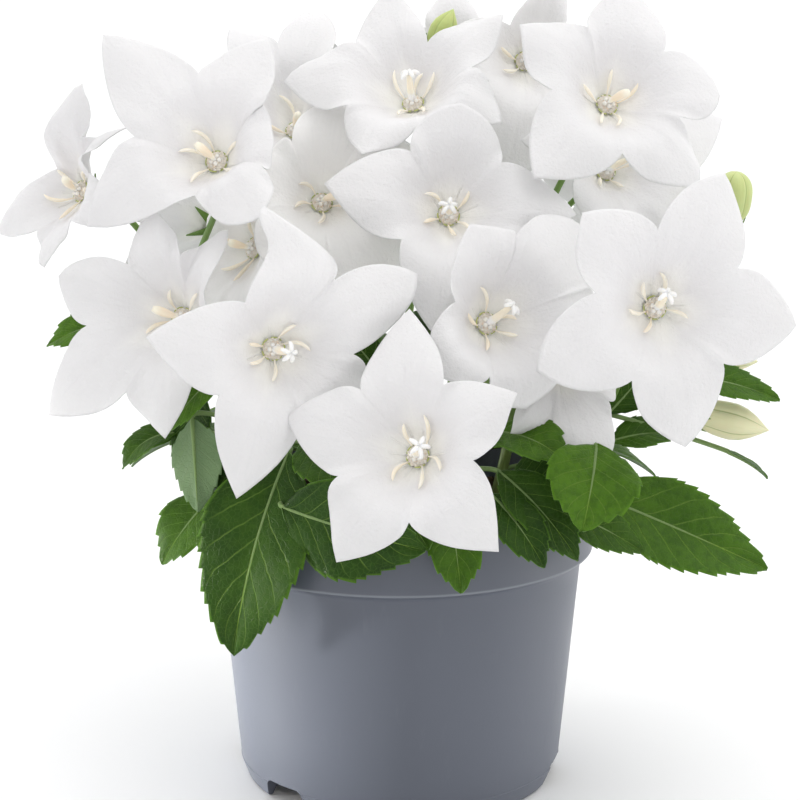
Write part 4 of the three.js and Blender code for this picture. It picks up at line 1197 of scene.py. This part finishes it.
# A stem with its stalks and green cups as one piece, and its leaves as another
def buildStem(name, stem, random, stalkGreen, leafGreen):
    g = stemSetup
    t = np.linspace(0, 1, g["rows"])
    foot = np.array([(*stem["foot"], soilSetup["top"] - g["holeDepth"] + g["clearance"])])
    line = np.concatenate([foot, bezier(t, *stemControls(stem))])
    radii = np.concatenate([[g["stemRadius"]], g["stemRadius"] - (g["stemRadius"] - g["stalkRadius"]) * t])
    parts = [tube(line, radii, g["sides"])]
    for carriedName, share in stem["stalks"].items():
        isBud = carriedName.endswith("_bud")
        carried = buds[carriedName[:-4]] if isBud else blooms[carriedName]
        top = -bloomSetup["seatGap"] - (0 if isBud else 0.4)
        place = frameAt(carried["at"], carried["face"])
        parts += [stalkPart(stem, share, place, top), *calyxParts(place, top, not isBud)]
    addPiece("stalks_" + name, parts, stalkGreen, "leaf_green", "stem_" + name)
    blades = []
    for leaf in stem.get("leaves", []):
        blades += leafParts(stem, *leaf, random)
    for leaf in stem.get("plain", []):
        blades += leafParts(stem, leaf[0], *plainLeaf(stem, *leaf), random.uniform(0.25, 0.8), random)
    if blades:
        addPiece("leaves_" + name, blades, leafGreen, "leaf_green", "stem_" + name)


# Camera, light and floor

# The camera, at the height and angle of the photograph
cameraSetup = {
    "place": (0.0, -0.560, 0.229),
    "tilt": 11.2,        # degrees below the horizon
    "lens": 83.25,
    "sensor": 36.0,
}

# Soft studio light: name, place and aim in metres, size in metres, power in watts, spread in degrees
lightSetup = {
    "sky": 1.10,
    "frontDip": 0.72,    # how much darker the studio is behind the camera
    "overhead": 0.38,
    "rightward": 0.04,
    "lamps": [
        ("topSoft", (0.50, -0.34, 1.15), (0, 0, 0.12), 0.8, 1.6, 180),
        ("petalFront", (-0.16, -0.85, 0.42), (-0.010, -0.03, 0.170), 0.12, 0.0028, 6),
        ("potLeft", (-0.70, -0.05, 0.02), (0, 0, 0.02), 0.12, 0.125, 13),
        ("potRight", (0.66, -0.06, 0.02), (0, 0, 0.02), 0.12, 0.02, 14),
    ],
    "lampColour": (1.0, 0.98, 0.94),
    "floorColour": (0.92, 0.92, 0.925),
    "floorReach": 40.0,  # metres from the pot to each edge of the floor
    "floorHeight": -0.0002,
}


# An even white room: strength = sky + overhead * height + rightward * right - frontDip * front^1.5
def buildSky():
    w = Wiring(bpy.data.worlds.new("studio"))
    right, back, high = w.split(w.node("ShaderNodeTexCoord").outputs["Generated"])
    front = w.math("MAXIMUM", w.times(back, -1.0), 0.0)
    strength = w.math("MULTIPLY_ADD", right, lightSetup["rightward"], lightSetup["sky"])
    strength = w.math("MULTIPLY_ADD", w.math("MAXIMUM", high, 0.0), lightSetup["overhead"], strength)
    strength = w.math("MULTIPLY_ADD", w.math("POWER", front, 1.5), -lightSetup["frontDip"], strength)
    sky = w.tree.nodes["Background"]
    w.put(sky.inputs["Color"], (1, 1, 1))
    w.put(sky.inputs["Strength"], strength)
    return w.owner


# An object at a place with a turn, put into the scene
def linked(name, data, place, turn):
    item = bpy.data.objects.new(name, data)
    item.location = place
    item.rotation_euler = turn
    bpy.context.scene.collection.objects.link(item)
    return item


# The camera, the sky, the lamps, each turned to its aim, and a wide floor just under the pot
def buildStudio():
    scene = bpy.context.scene
    lens = bpy.data.cameras.new("camera")
    lens.lens, lens.sensor_width = cameraSetup["lens"], cameraSetup["sensor"]
    scene.camera = linked("camera", lens, cameraSetup["place"], ((90 - cameraSetup["tilt"]) * degree, 0, 0))
    scene.view_settings.view_transform = "Standard"
    scene.world = buildSky()
    for name, place, target, size, power, spread in lightSetup["lamps"]:
        data = bpy.data.lights.new(name, "AREA")
        data.shape, data.size, data.energy, data.spread = "DISK", size, power, spread * degree
        data.color = lightSetup["lampColour"]
        x, y, z = np.array(target) - np.array(place)
        linked(name, data, place, (math.atan2(math.hypot(x, y), -z), 0, math.atan2(y, x) - math.pi / 2))
    far, low = lightSetup["floorReach"], lightSetup["floorHeight"]
    mesh = bpy.data.meshes.new("floor")
    mesh.from_pydata([(x, y, low) for y in (-far, far) for x in (-far, far)], [], [(0, 1, 3, 2)])
    mesh.materials.append(floorMaterial())
    floor = linked("floor", mesh, (0, 0, 0), (0, 0, 0))


buildStudio()
print("studio ready")
buildPot(potMaterial())
buildSoil(soilMaterial())
print("pot and soil ready")
petalWhite, heart = petalMaterial(), centreMaterial()
for index, (bloomName, bloomFacts) in enumerate(blooms.items()):
    buildCorolla(bloomName, bloomFacts, index, petalWhite)
    buildCentre(bloomName, bloomFacts, index, heart)
print("blooms ready")
budMaterials = {
    "bud_green": budMaterial("budGreen", (0.33, 0.43, 0.09), (0.60, 0.70, 0.24)),
    "bud_cream": budMaterial("budCream", (0.58, 0.58, 0.26), (0.80, 0.78, 0.52)),
}
for budName, budFacts in buds.items():
    buildBud(budName, budFacts, budMaterials[budFacts["slot"]])
leafRandom = np.random.default_rng(leafSetup["seed"])
stemGreen, leafGreen = stemMaterial(), leafMaterial()
for stemName, stemFacts in stems.items():
    buildStem(stemName, stemFacts, leafRandom, stemGreen, leafGreen)
print("stems and leaves ready")
